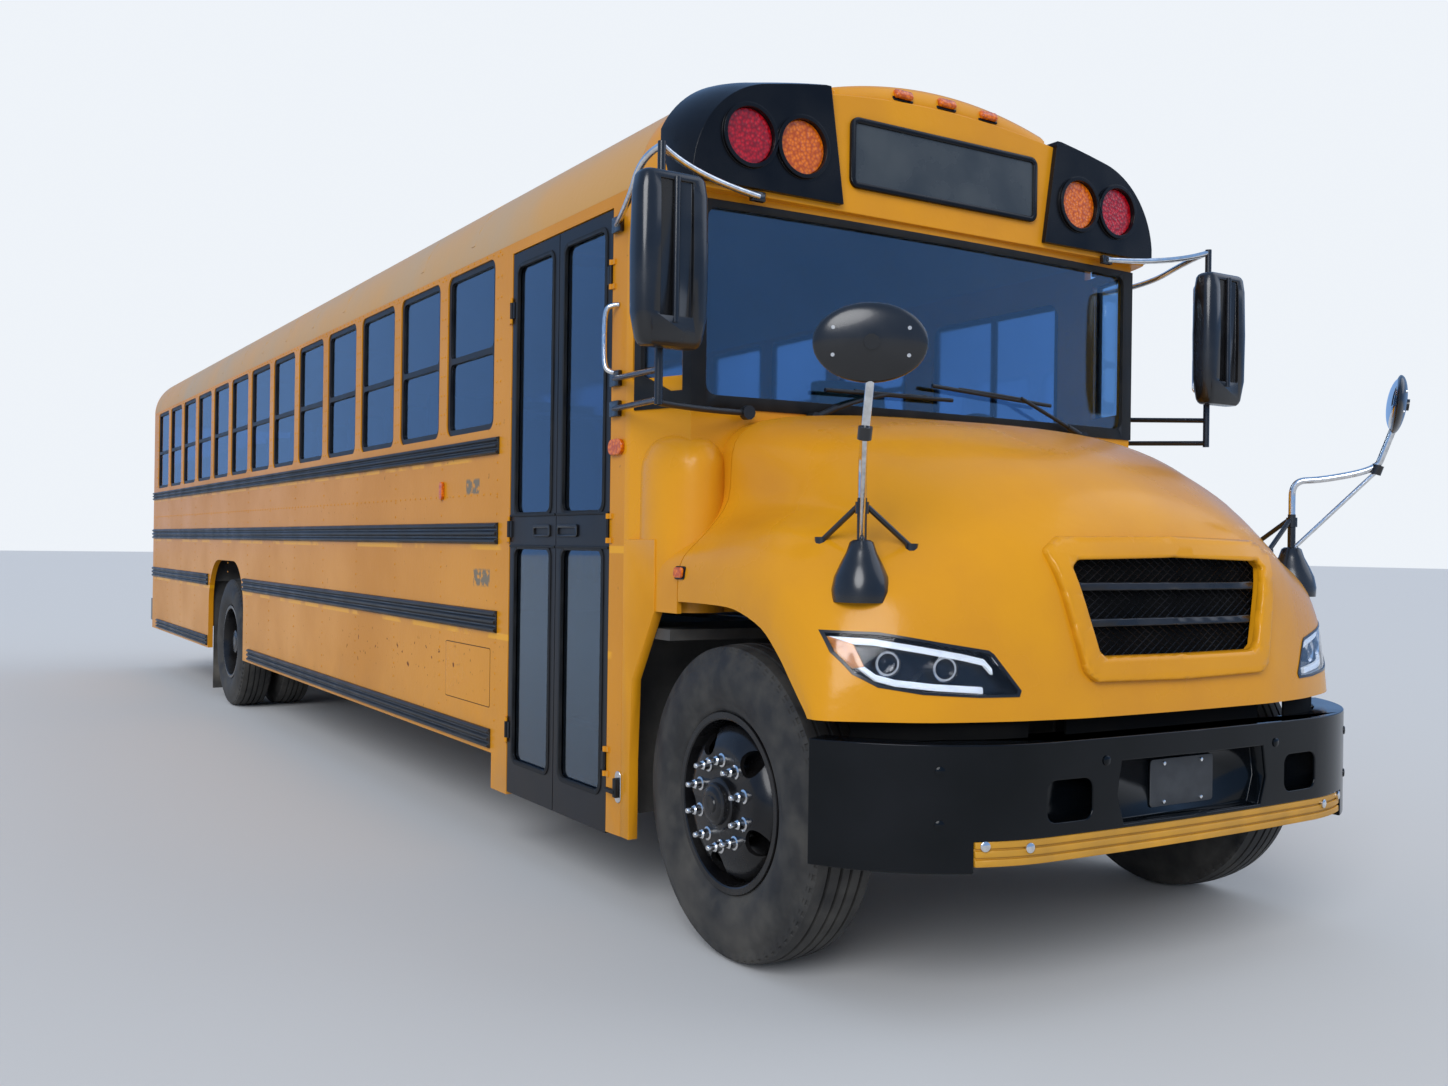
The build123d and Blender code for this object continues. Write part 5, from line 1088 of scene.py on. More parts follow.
for side in (-1, 1):
    arm = prism("hood_arm", [(HOOD_PIVOT[0] + y, HOOD_PIVOT[1] + z) for y, z in HOOD_ARM],
                side * ARM_X - ARM_HALF, side * ARM_X + ARM_HALF, axis=0)
    pieces.append(coat(softened(arm, 0.002), frame_black))
seat(joined(pieces, "hood_moulding"), "hood", "hood_yellow", "hood")


# Fender markers. A small amber lamp on a black base at the rear of each fender, screwed flat to the
# moulding, so that both ride with the hood.
lamp_frames = []
for side in (-1, 1):
    place = hood_face.find_nearest(Vector((side * 1.214, -5.060, 1.285)))[0]
    lamp_frames.append(facing(place, (side, 0, 0.1), (0, 1, 0)))
lamps = small_lamps("fender_markers", lamp_frames, 0.054, 0.036, 0.004, 0.014, 0.002, 2, amber_lens)
bases = small_lamps("fender_marker_bases", lamp_frames, 0.066, 0.046, -0.006, 0.005, 0.002, 2, pod_black)
seat(lamps, "hood", "lens_amber")
seat(bases, "hood", "grille_black")


# Grille. Black moulded lattice of diamonds behind two cross bars, with a matte near-black screen behind it,
# painted shade for the dark inside of the nose, set in the hood's mouth and following its curve.
BAR_HEIGHTS, BAR_HALF = (1.270, 1.158), 0.013
BAR_REACH, BAR_TAPER, MOUTH_HIGH = 0.446, 0.31, 1.352
MESH_CELL, MESH_COUNT = (0.040, 0.026), 60
MESH_WIRE, MESH_DEPTH, MESH_MIDDLE = 0.0048, 0.026, 1.208
MOUTH_SCREEN = [(0, 1.392), (0.470, 1.380), (0.502, 1.346), (0.414, 1.044), (0.380, 1.026), (0, 1.024)]
grille_black = finish("grille_black", (0.004, 0.004, 0.005), (0.010, 0.010, 0.012), 0.1, 0.22, 0.4,
                      shine=0.45)
# Painted shade: a matte near-black that darkens what is seen behind the grille and in the gap under the hood.
painted_shade_black = finish("painted_shade_black", (0.003, 0.003, 0.003), (0.006, 0.006, 0.006), 0.1, 0.7, 0.9, shine=0.1)
mouth = across(MOUTH_SCREEN)
screen = coat(laid_on(sliced(prism("grille_screen", mouth, 0.040, 0.046), 0.04), hood_face), painted_shade_black)
bpy.ops.object.select_all(action="DESELECT")
bpy.ops.mesh.primitive_grid_add(x_subdivisions=MESH_COUNT, y_subdivisions=MESH_COUNT,
                                size=MESH_COUNT * 0.7071, rotation=(0, 0, math.pi / 4))
lattice = settled(bpy.context.object)
lattice.scale = (*MESH_CELL, 1.0)
lattice.rotation_euler = (math.pi / 2, 0, 0)
lattice.location = (0, 0, MESH_MIDDLE)
opened(settled(lattice))
for (x, z), (next_x, next_z) in zip(mouth, mouth[1:] + mouth[:1]):
    bpy.ops.mesh.select_all(action="SELECT")
    bpy.ops.mesh.bisect(plane_co=(x, 0, z), plane_no=(z - next_z, 0, next_x - x), clear_outer=True)
bpy.ops.object.mode_set(mode="OBJECT")
altered(lattice, "WIREFRAME", thickness=MESH_WIRE, use_boundary=True, use_even_offset=False)
for vertex in lattice.data.vertices:
    vertex.co.y += MESH_DEPTH
pieces = [screen, coat(laid_on(lattice, hood_face), grille_black)]
for height in BAR_HEIGHTS:
    reach, low, high = BAR_REACH - BAR_TAPER * (MOUTH_HIGH - height), height - BAR_HALF, height + BAR_HALF
    outline = across([(0, high), (reach, high), (reach - 0.008, low), (0, low)])
    bar = sliced(softened(prism("grille_bar", outline, 0.004, 0.026), 0.005), 0.04)
    pieces.append(coat(laid_on(bar, hood_face), grille_black))
seat(joined(pieces, "grille_lattice"), "hood", "grille_black", "grille")


# Headlamps. A clear cover flush with the fender in a black seal, over a dark housing with two lens
# projectors, white light guides along its top and foot, and an amber corner lamp.
LAMP_INSIDE = [(1.162, 1.127), (1.055, 1.125), (0.885, 1.094), (0.760, 1.072), (0.748, 1.064), (0.676, 0.963),
               (0.680, 0.952), (0.798, 0.952), (0.958, 0.962), (1.065, 0.981), (1.119, 1.014), (1.154, 1.072)]
GUIDE_TOP = [(1.146, 1.116), (1.058, 1.112), (0.935, 1.090), (0.821, 1.069), (0.758, 1.054), (0.735, 1.026)]
GUIDE_FOOT = [(1.112, 1.062), (1.091, 1.036), (1.061, 1.008), (1.015, 0.994), (0.912, 0.982), (0.770, 0.972)]
GUIDE_WIDTH = 0.020
AMBER_CORNER = [(1.157, 1.119), (1.104, 1.095), (1.088, 1.030), (1.118, 1.024), (1.148, 1.071)]
PROJECTORS = [(1.026, 1.040), (0.872, 1.025)]
PROJECTOR_TURN, PROJECTOR_DEPTH = 0.35, 0.030
BEZEL = [(0.0, 0.030), (0.0, 0.036), (0.006, 0.040), (-0.030, 0.040), (-0.030, 0.026)]
BULB = [(-0.030, POLE), (-0.030, 0.030), (-0.010, 0.028), (0.004, 0.020), (0.010, 0.010), (0.012, POLE)]
GUIDE_GLOW, GUIDE_LIGHT = (0.9, 0.95, 1.0, 1.0), 0.45
lamp_cover = glass("lamp_cover", (0.95, 0.96, 0.98), strength=1.22)
lamp_dark = finish("lamp_housing", (0.006, 0.006, 0.007), (0.014, 0.014, 0.016), 0.1, 0.15, 0.3)
guide_white = finish("light_guide", (0.72, 0.76, 0.80), (0.58, 0.62, 0.66), 0.03, 0.12, 0.25)
guide_shader = guide_white.node_tree.nodes["Principled BSDF"]
guide_shader.inputs["Emission Color"].default_value = GUIDE_GLOW
guide_shader.inputs["Emission Strength"].default_value = GUIDE_LIGHT
corner_amber = finish("corner_amber", (0.85, 0.28, 0.01), (0.62, 0.17, 0.005), 0.03, 0.12, 0.2, coat=0.6)
covers, housings, guides, corners, projectors = [], [], [], [], []
for side in (-1, 1):
    outline, inside = sided(HEADLAMP, side), sided(LAMP_INSIDE, side)
    wall = framing("lamp_wall", outline, inside, -0.003, 0.064)
    back = prism("lamp_back", outline, 0.060, 0.066)
    housings += [laid_on(sliced(piece, 0.03), hood_face) for piece in (wall, back)]
    covers.append(laid_on(sliced(prism("lamp_cover", inside, 0.001, 0.005), 0.02), hood_face))
    for line in (GUIDE_TOP, GUIDE_FOOT):
        strip = sided(line + [(x, z - GUIDE_WIDTH) for x, z in reversed(line)], side)
        guide = softened(prism("light_guide", strip, 0.018, 0.034), 0.003)
        guides.append(laid_on(sliced(guide, 0.02, (0,)), hood_face))
    corner = softened(prism("amber_corner", sided(AMBER_CORNER, side), 0.014, 0.030), 0.003)
    corners.append(laid_on(sliced(corner, 0.02, (0,)), hood_face))
    aim = Vector((side * PROJECTOR_TURN, -1, 0)).normalized().to_track_quat("X", "Z").to_matrix().to_4x4()
    for x, z in PROJECTORS:
        place = struck(hood_face, side * x, z)[0] + Vector((0, PROJECTOR_DEPTH, 0))
        for rings, paint in ((BEZEL, chrome), (BULB, lamp_cover)):
            form = placed(lathe("projector", rings, 32), Matrix.Translation(place) @ aim)
            projectors.append(coat(softened(form, 0.0), paint))
for pieces, paint in ((covers, lamp_cover), (housings, lamp_dark), (guides, guide_white),
                      (corners, corner_amber)):
    for piece in pieces:
        coat(softened(piece, 0.0, angle=35.0), paint)
seat(joined(covers, "headlamp_covers"), "hood", "lamp_glass", "headlamps")
seat(joined(housings, "headlamp_housings"), "hood", "grille_black")
seat(joined(guides, "light_guides"), "hood", "lamp_glass")
seat(joined(corners, "amber_corners"), "hood", "lens_amber")
seat(joined(projectors, "lamp_projectors"), "hood", "steel_grey")


# Cowl. The body's steel front round the windshield, in the cap's yellow with its painted light, with a skirt
# that takes up the hood's rear edge and a bulge at either side that fairs it into the door pillar.
DASH_Y = -4.976
PILLAR_Y = -4.654
COWL_FOOT, COWL_TOP = 1.143, 2.640
GLASS_LOW, GLASS_HIGH = 1.906, 2.600
BULGE_PLACE = (1.078, -4.838)
BULGE_SIZE = (0.140, 0.200)
BULGE_LEVELS = [
    # height, share of the bulge's size
    (1.143, 1.0), (1.400, 1.0), (1.640, 0.99), (1.700, 0.93), (1.748, 0.78), (1.778, 0.55), (1.788, 0.3),
]
COWL_LEG = [
    # along the bus, height
    (-4.654, 0.297), (-4.720, 0.297), (-4.720, 0.590), (-4.734, 0.885), (-4.890, 1.143), (-4.890, 1.400),
    (-4.654, 1.400),
]


def arc_through(start, middle, end, steps):
    """Points on the circle through three places in plan, without the last."""
    (ax, ay), (bx, by), (cx, cy) = start, middle, end
    a, b, c = ax**2 + ay**2, bx**2 + by**2, cx**2 + cy**2
    scale = 2 * (ax * (by - cy) + bx * (cy - ay) + cx * (ay - by))
    ux = (a * (by - cy) + b * (cy - ay) + c * (ay - by)) / scale
    uy = (a * (cx - bx) + b * (ax - cx) + c * (bx - ax)) / scale
    first, last = math.atan2(ay - uy, ax - ux), math.atan2(cy - uy, cx - ux)
    sweep = (last - first + math.pi) % math.tau - math.pi
    reach = math.hypot(ax - ux, ay - uy)
    turns = [first + sweep * i / steps for i in range(steps)]
    return [(ux + reach * math.cos(turn), uy + reach * math.sin(turn)) for turn in turns]


def body_plan(inset):
    """Plan outline of the body's rounded front, as far back as the door pillars, moved in by inset."""
    corner = (1.127 - inset * 0.8, DASH_Y + inset)
    half = WALL_X - inset
    front = arc_through(corner, (0.0, DASH_Y - 0.032 + inset), (-corner[0], corner[1]), 40)
    return front + [(-corner[0], corner[1]), (-half, PILLAR_Y - 0.036), (-half, PILLAR_Y), (half, PILLAR_Y),
                    (half, PILLAR_Y - 0.036)]


edge = hood_net[0]
edge = [Vector((edge[0].x, 0, COWL_FOOT)), *edge, Vector((edge[-1].x, 0, COWL_FOOT))]
cowl_skirt = net("cowl_skirt", [[Vector((point.x, y, point.z)) for point in edge]
                                for y in (PILLAR_Y, -4.76, -4.86, -4.96, -5.044)])
opened(cowl_skirt)
if cowl_skirt.data.polygons[len(edge) // 2].normal.z < 0:
    bpy.ops.mesh.flip_normals()
bpy.ops.object.mode_set(mode="OBJECT")
altered(cowl_skirt, "SOLIDIFY", thickness=SHELL, offset=-1.0)
cowl_front = carved(prism("cowl_front", body_plan(0.0), COWL_FOOT, COWL_TOP, axis=2),
                    boxed((-1.085, -5.20, GLASS_LOW), (1.085, -4.876, GLASS_HIGH)),
                    boxed((-1.300, -4.934, 1.986), (1.300, -4.700, GLASS_HIGH)))
forms = [cowl_skirt, cowl_front]
levels = eased([Vector((z, share, 0)) for z, share in BULGE_LEVELS], 4)
for side in (-1, 1):
    rows = [[Vector((side * BULGE_PLACE[0] + BULGE_SIZE[0] * level.y * x,
                     BULGE_PLACE[1] + BULGE_SIZE[1] * level.y * y, level.x))
             for x, y in ring_of(48, 1.0, 0.0)] for level in levels]
    forms.append(net("cowl_bulge", rows, closed=True))
pieces = []
for piece in forms:
    carved(piece, prism("cut", body_plan(0.040), 0.90, 2.70, axis=2),
           boxed((-1.179, -4.700, 0.90), (1.179, -4.60, 2.70)))
    pieces.append(softened(piece, 0.0, angle=32.0))
for side in (-1, 1):
    pieces.append(softened(prism("cowl_leg", COWL_LEG, side * 1.2195, side * 1.180, axis=0), 0.003))
seat(coat(joined(pieces, "front_cowl_steel"), cap_yellow_with_painted_light), "bus", "bus_yellow", "front_cowl")


# Windshield gasket. A black rubber band, proud of the cowl, round the windshield and the corner panes,
# which it holds in the steel.
CORNER_PANE = [(-4.942, 2.588), (-4.942, 1.932), (-4.886, 1.932), (-4.746, 2.002), (-4.746, 2.588)]
gasket = carved(prism("windshield_gasket", body_plan(-0.007), 1.872, 2.616, axis=2),
                prism("cut", body_plan(0.012), 1.80, 2.70, axis=2),
                boxed((-1.5, -4.715, 1.8), (1.5, -4.60, 2.7)),
                prism("cut", rounded(2.144, 0.670, 0.040, (0, 2.253)), -5.20, -4.896),
                *[prism("cut", CORNER_PANE, side * 1.10, side * 1.40, axis=0) for side in (-1, 1)])
seat(coat(softened(gasket, 0.002), seal_black), "bus", "lamp_black")


# Front bumper. Pressed steel in deep gloss black, wrapped round both corners, with a recess for a blank
# plate, two rounded towing holes with dark backing, bolts, and a yellow grooved strip along its foot.
BUMPER_NOSE = [(0.0, -6.250), (0.620, -6.234), (1.000, -6.102), (1.219, -5.842)]
BUMPER_LOW, BUMPER_HIGH, LIP_HIGH = 0.448, 0.818, 0.540
SHEET_SPAN = (0.3, 0.9)
LIP_GAP = ((-0.871, -6.4, 0.40), (0.871, -5.6, LIP_HIGH))
TOW_X, TOW_Z = 0.548, 0.642
RECESS = [(0, 0.744), (0.338, 0.744), (0.356, 0.640), (0.326, 0.552), (0, 0.552)]
PAN = [(0, 0.756), (0.350, 0.756), (0.368, 0.640), (0.336, 0.541), (0, 0.541)]
LIP_RIBS = [
    # outer and inner inset from the bumper's line, low, high
    (0.003, 0.043, 0.466, 0.487), (0.003, 0.043, 0.493, 0.513), (0.003, 0.043, 0.519, 0.540),
    (0.010, 0.040, 0.470, 0.536),
]
BOLTS = [(0.961, 0.742), (0.405, 0.750), (0.961, 0.588)]
LIP_BOLTS = [(0.840, 0.527), (0.700, 0.516)]
SCREW_X, SCREW_Z, SCREW_Y = 0.089, (0.5895, 0.7105), -6.196
BOLT = [(-0.004, POLE), (-0.004, 0.015), (0.003, 0.015), (0.005, 0.011), (0.006, POLE)]
SCREW = [(-0.002, POLE), (-0.002, 0.007), (0.003, 0.006), (0.004, POLE)]
bumper_black = finish("bumper_black", (0.001, 0.002, 0.003), (0.004, 0.005, 0.007), 0.4, 0.10, 0.22,
                      shine=0.22)
lip_yellow = finish("lip_yellow", (0.56, 0.27, 0.012), (0.38, 0.19, 0.02), 0.25, 0.35, 0.55)
plate_dark = finish("plate_dark", (0.020, 0.022, 0.026), (0.035, 0.038, 0.042), 0.05, 0.35, 0.5)


def bumper_plan(inset):
    """Plan line of the bumper from the entrance side round to the driver's side, moved in by inset."""
    half = arc_through((-0.620, -6.234), BUMPER_NOSE[0], BUMPER_NOSE[1], 24)[12:]
    half += arc_through(BUMPER_NOSE[1], BUMPER_NOSE[2], BUMPER_NOSE[3], 24)
    half.append(BUMPER_NOSE[3])
    line = [Vector(pair) for pair in [(-x, y) for x, y in reversed(half[1:])] + half]
    moved = []
    for i, point in enumerate(line):
        run = (line[min(i + 1, len(line) - 1)] - line[max(i - 1, 0)]).normalized()
        moved.append((point.x - run.y * inset, point.y + run.x * inset))
    return moved


def strip_of(name, outer, inner, low, high):
    """Upright strip along the bumper between two insets and two heights."""
    return prism(name, bumper_plan(outer) + list(reversed(bumper_plan(inner))), low, high, axis=2)


bumper = carved(strip_of("bumper_face", 0.0, 0.010, BUMPER_LOW, BUMPER_HIGH), boxed(*LIP_GAP),
                prism("cut", across(RECESS), -6.4, -5.9),
                *[prism("cut", rounded(0.180, 0.124, 0.034, (side * TOW_X, TOW_Z)), -6.4, -5.9)
                  for side in (-1, 1)])
flange = carved(strip_of("bumper_flange", 0.004, 0.100, BUMPER_HIGH - 0.010, BUMPER_HIGH),
                *[boxed((side * ARM_X - 0.030, -6.228, 0.76), (side * ARM_X + 0.030, -6.05, 0.86))
                  for side in (-1, 1)])
foot = carved(strip_of("bumper_foot", 0.004, 0.100, BUMPER_LOW, BUMPER_LOW + 0.010), boxed(*LIP_GAP))
pan = carved(prism("plate_pan", across(PAN), -6.236, -6.182), prism("cut", across(RECESS), -6.4, -6.190))
backs = [boxed((side * TOW_X - 0.15, -6.186, 0.545), (side * TOW_X + 0.15, -6.180, 0.75)) for side in (-1, 1)]
pieces = [coat(softened(piece, 0.004), bumper_black) for piece in (bumper, flange, foot, pan, *backs)]
altered(bumper, "WEIGHTED_NORMAL", keep_sharp=True)
seat(joined(pieces, "front_bumper_steel"), "bus", "gloss_black", "front_bumper")
lip_parts = []
for outer, inner, low, high in LIP_RIBS:
    rib = carved(strip_of("lip", outer, inner, low, high), boxed((-0.865, -6.4, 0.40), (0.865, -5.6, 0.70)),
                 how="INTERSECT")
    lip_parts.append(coat(softened(rib, 0.003), lip_yellow))
seat(joined(lip_parts, "bumper_lip_strip"), "bus", "trim_yellow", "bumper_lip")
sheet = net("bumper_sheet", [[Vector((x, y, z)) for x, y in bumper_plan(0.0)] for z in SHEET_SPAN])
bumper_face = tree_of(sheet)
drop(sheet)
heads = []
for side in (-1, 1):
    for x, z in BOLTS + LIP_BOLTS:
        place, out = struck(bumper_face, side * x, z)
        aim = (out if out.y < 0 else -out).to_track_quat("X", "Z").to_matrix().to_4x4()
        head = softened(placed(lathe("bolt", BOLT, 20), Matrix.Translation(place) @ aim), 0.0)
        heads.append(coat(head, bumper_black if z > LIP_HIGH else chrome))
seat(joined(heads, "bumper_bolts"), "bus", "gloss_black")
plate = prism("blank_plate", rounded(0.300, 0.150, 0.012, (0, 0.650)), -6.194, -6.190)
seat(coat(softened(plate, 0.001), plate_dark), "bus", "satin_black")
screws = []
for x in (-SCREW_X, SCREW_X):
    for z in SCREW_Z:
        frame_of = Matrix.Translation((x, SCREW_Y, z)) @ Matrix.Rotation(-math.pi / 2, 4, "Z")
        screws.append(coat(placed(lathe("screw", SCREW, 12), frame_of), chrome))
seat(joined(screws, "plate_screws"), "bus", "steel_grey")


# Radiator and air dam. A dark block behind the hood's nose, and a black strip that closes the gap between
# the bumper and the hood, notched where the hood's two arms swing. Both are painted shade in matte
# near-black: the block stands for the radiator and the shade round it, and the strip is partly the black step
# on the bumper and partly the shade in the gap.
DAM_SPANS = [(-1.15, -0.575), (-0.475, 0.475), (0.575, 1.15)]
DAM_REAR = -5.855
DAM_STRIPS = [
    # front inset from the bumper's line, low, high
    (0.108, 0.790, 0.866), (0.094, 0.796, 0.806),
]
pieces = [softened(boxed((-0.42, -5.98, 0.66), (0.42, -5.90, 1.30)), 0.004)]
for side in (-1, 1):
    closer = boxed((side * ARM_X - 0.075, -5.955, 0.70), (side * ARM_X + 0.075, -5.945, 0.866))
    pieces.append(softened(closer, 0.0))
rear_line = bumper_plan(0.116)
for front_inset, low, high in DAM_STRIPS:
    line = list(zip(bumper_plan(front_inset), rear_line))
    for start, end in DAM_SPANS:
        run = [pair for pair in line if start <= pair[0][0] <= end and pair[0][1] < DAM_REAR]
        outline = [front for front, rear in run] + [rear for front, rear in reversed(run)]
        pieces.append(softened(prism("air_dam", outline, low, high, axis=2), 0.0))
# Painted shade: the matte near-black strip fills the dark gap under the hood's edge.
seat(coat(joined(pieces, "radiator_and_dam"), painted_shade_black), "bus", "chassis_black")


# Rear bumper. A plain steel channel across the back in the same gloss black, bolted to the ends of the
# frame rails, with softened edges.
skin("rear_bumper", bumper_black, 0.006)


# Wipers. Two black arms pivoted on the cowl below the windshield, parked across its foot, and the black
# bar that runs from the mirror mast to the cowl.
WIPERS = [
    # spindle, bend and blade ends: millimetres across, behind the axle, up
    ((-635, 250, 1858), (-454, 246, 1936), (-295, 244, 1967), (-589, 250, 1964), (34, 250, 1968)),
    ((771, 250, 1865), (600, 246, 1930), (403, 244, 2001), (-71, 250, 2018), (575, 250, 1983)),
]
wiper_black = finish("wiper_black", (0.006, 0.006, 0.007), (0.016, 0.016, 0.017), 0.1, 0.3, 0.5, shine=0.4)


def rods_of(paint, runs):
    """Round bars in one paint, each from its points and its radius."""
    return [rod("bar", points, radius, paint) for points, radius in runs]


runs = []
lift = Vector((0, 0, 0.006))
for places in WIPERS:
    foot, bend, middle, start, end = (spot(*place) for place in places)
    runs += [([foot, bend, middle], 0.008), ([foot.lerp(bend, 0.08), foot.lerp(bend, 0.55)], 0.012),
             ([start.lerp(end, 0.22) + lift, middle, start.lerp(end, 0.78) + lift], 0.006),
             ([start, end], 0.008),
             ([foot + Vector((0, 0.030, 0)), foot - Vector((0, 0.012, 0))], 0.020)]
runs += [([spot(-1378, 100, 1850), spot(-1160, 215, 1850), spot(-924, 268, 1858)], 0.011),
         ([spot(-924, 246, 1858), spot(-924, 275, 1858)], 0.026)]
seat(joined(rods_of(wiper_black, runs), "wipers"), "bus", "satin_black")


# Hood mirrors. Oval black heads with a domed glass on their rear face, each on a bent tube that stands in
# a rubber boot on the fender and is stayed by two thin legs.
BOOT = [(-0.045, POLE), (-0.045, 0.088), (-0.010, 0.090), (0.030, 0.082), (0.070, 0.064), (0.105, 0.046),
        (0.135, 0.036), (0.142, 0.026), (0.142, POLE)]
MIRROR_LEGS = [
    # foot of each leg: millimetres across, behind the axle, up
    (1050, -372, 1400), (865, -583, 1383),
]
MIRROR_SCREWS = [(-0.104, 0.040), (0.104, 0.040), (-0.104, -0.034), (0.104, -0.034)]
mirror_black = finish("mirror_black", (0.006, 0.006, 0.007), (0.014, 0.014, 0.015), 0.2, 0.18, 0.32, coat=0.2)
mirror_glass = finish("mirror_glass", (0.80, 0.82, 0.84), (0.74, 0.76, 0.78), 0.3, 0.03, 0.06, metal=1.0)


def dome(name, half_wide, half_tall, rise, frame_of, paint):
    """Half of a ball pressed flat to an oval, facing along the frame's Z."""
    bpy.ops.object.select_all(action="DESELECT")
    bpy.ops.mesh.primitive_uv_sphere_add(segments=48, ring_count=24, radius=1.0, location=(0, 0, 0))
    piece = bpy.context.object
    piece.name = name
    bpy.ops.object.mode_set(mode="EDIT")
    bpy.ops.mesh.select_all(action="SELECT")
    bpy.ops.mesh.bisect(plane_co=(0, 0, 0), plane_no=(0, 0, 1), clear_inner=True, use_fill=True)
    bpy.ops.object.mode_set(mode="OBJECT")
    placed(piece, frame_of @ Matrix.Diagonal((half_wide, half_tall, rise, 1.0)))
    return coat(softened(piece, 0.0, angle=40.0), paint)


black_parts, glass_parts, bright_parts = [], [], []
for side in (-1, 1):
    boot, elbow = spot(side * 1040, -562, 1262), spot(side * 1040, -562, 1640)
    reach, head = spot(side * 1215, -795, 1700), spot(side * 1245, -862, 1905)
    clamp, leg_top, tube_foot, foot_top = (Vector((boot.x, boot.y, z)) for z in (1.500, 1.518, 1.520, 1.530))
    black_runs = [([boot, foot_top], 0.015)]
    bright_runs = [([tube_foot, elbow - Vector((0, 0, 0.10)), elbow + Vector((0, 0, 0.02)),
                     elbow.lerp(reach, 0.35), reach, reach.lerp(head, 0.3), head], 0.013),
                   ([boot + Vector((0, 0, 0.13)), reach - Vector((0, 0, 0.006))], 0.008)]
    for place, way in ((clamp, Vector((0, 0, 1))), (reach, (head - reach).normalized())):
        black_runs.append(([place - way * 0.018, place + way * 0.018], 0.021))
    for x, behind, z in MIRROR_LEGS:
        leg, pad = spot(side * x, behind, z), Vector((0, 0, 0.012))
        black_runs += [([leg, leg_top], 0.009), ([leg - pad, leg + pad], 0.022)]
    centre = Vector((head.x, head.y + 0.010, 1.942))
    shell = facing(centre, (side * 0.55, -0.83, -0.12), (0.83, side * 0.55, 0))
    turned = shell @ Matrix.Rotation(math.pi, 4, "X")
    black_runs.append(([shell @ Vector((0, 0.002, 0.020)), shell @ Vector((0, 0.002, 0.042))], 0.022))
    bright_runs += [([shell @ Vector((x, y, 0.006)), shell @ Vector((x, y, 0.026))], 0.0055)
                    for x, y in MIRROR_SCREWS]
    black_parts += rods_of(mirror_black, black_runs)
    bright_parts += rods_of(chrome, bright_runs)
    upright = Matrix.Rotation(-math.pi / 2, 4, "Y")
    cone = placed(lathe("mirror_boot", BOOT, 32), Matrix.Translation(boot) @ upright)
    black_parts += [coat(softened(cone, 0.0, angle=40.0), mirror_black),
                    dome("mirror_back", 0.159, 0.110, 0.034, shell, mirror_black),
                    dome("mirror_rim", 0.159, 0.110, 0.020, turned, mirror_black)]
    glass_parts.append(dome("mirror_dome", 0.147, 0.099, 0.034, turned, mirror_glass))
seat(joined(black_parts, "hood_mirror_heads"), "hood", "mirror_black", "hood_mirrors")
seat(joined(glass_parts, "hood_mirror_glass"), "hood", "lamp_glass")
seat(joined(bright_parts, "hood_mirror_stays"), "hood", "steel_grey")


# Side mirrors. Tall moulded heads with two flat glasses on their rear faces, on black masts held by
# chromed and black tubes from the door pillars and the cap.
HEAD_LEVELS = [
    # height, width, depth
    (2.024, 0.196, 0.062), (2.032, 0.216, 0.076), (2.046, 0.232, 0.088), (2.130, 0.264, 0.108),
    (2.330, 0.269, 0.112), (2.520, 0.260, 0.104), (2.572, 0.244, 0.092), (2.584, 0.228, 0.080),
    (2.590, 0.206, 0.066),
]
MAST_X, HEAD_Y, MAST_Y = 1.378, -5.250, -5.190
PANE_SPANS = [(2.075, 2.235), (2.265, 2.545)]
PILLAR_PLACE = (1.233, -4.590)
FOOT_X, FOOT_HEIGHTS = 1.229, (2.000, 1.887, 2.577)
black_parts, glass_parts, bright_parts = [], [], []
for side in (-1, 1):
    x = side * MAST_X
    levels = [[Vector((px, py, z)) for px, py in rounded(width, depth, depth * 0.4, (x, HEAD_Y))]
              for z, width, depth in HEAD_LEVELS]
    head = carved(net("mirror_head", levels, closed=True),
                  boxed((x - 0.060, -5.40, 2.12), (x + 0.060, -5.288, 2.56)))
    black_parts.append(coat(softened(head, 0.003, 2, 34.0), mirror_black))
    for low, high in PANE_SPANS:
        pane = prism("mirror_pane", rounded(0.205, high - low, 0.022, (x, (low + high) / 2)), -5.200, -5.192)
        glass_parts.append(coat(softened(pane, 0.002), mirror_glass))
    pillar_x, pillar_y = side * PILLAR_PLACE[0], PILLAR_PLACE[1]
    black_runs = [([(x, -5.296, 2.10), (x, -5.296, 2.57)], 0.012),
                  ([(x, MAST_Y, 1.843), (x, MAST_Y, 2.712)], 0.014)]
    black_runs += [([(x, MAST_Y, z), (pillar_x, pillar_y, pillar_z)], 0.011)
                   for z, pillar_z in ((1.960, FOOT_HEIGHTS[0]), (1.860, FOOT_HEIGHTS[1]))]
    top = (x, MAST_Y, 2.700)
    bright_runs = [([top, (side * 1.392, -5.08, 2.690), (side * 1.330, -4.87, 2.590),
                     (pillar_x, pillar_y, FOOT_HEIGHTS[2])], 0.012),
                   ([top, (side * 1.225, -5.125, 2.640), (side * 0.900, -5.046, 2.634)], 0.012)]
    black_parts += rods_of(mirror_black, black_runs)
    bright_parts += rods_of(chrome, bright_runs)
    feet = [boxed((side * FOOT_X - 0.010, -4.625, z - 0.03), (side * FOOT_X + 0.010, -4.555, z + 0.03))
            for z in FOOT_HEIGHTS]
    feet.append(boxed((side * 0.900 - 0.03, -5.050, 2.616), (side * 0.900 + 0.03, -5.028, 2.652)))
    black_parts += [coat(softened(foot, 0.004), mirror_black) for foot in feet]
seat(joined(black_parts, "side_mirror_heads"), "bus", "mirror_black", "side_mirrors")
seat(joined(glass_parts, "side_mirror_glass"), "bus", "lamp_glass")
seat(joined(bright_parts, "side_mirror_stays"), "bus", "steel_grey")


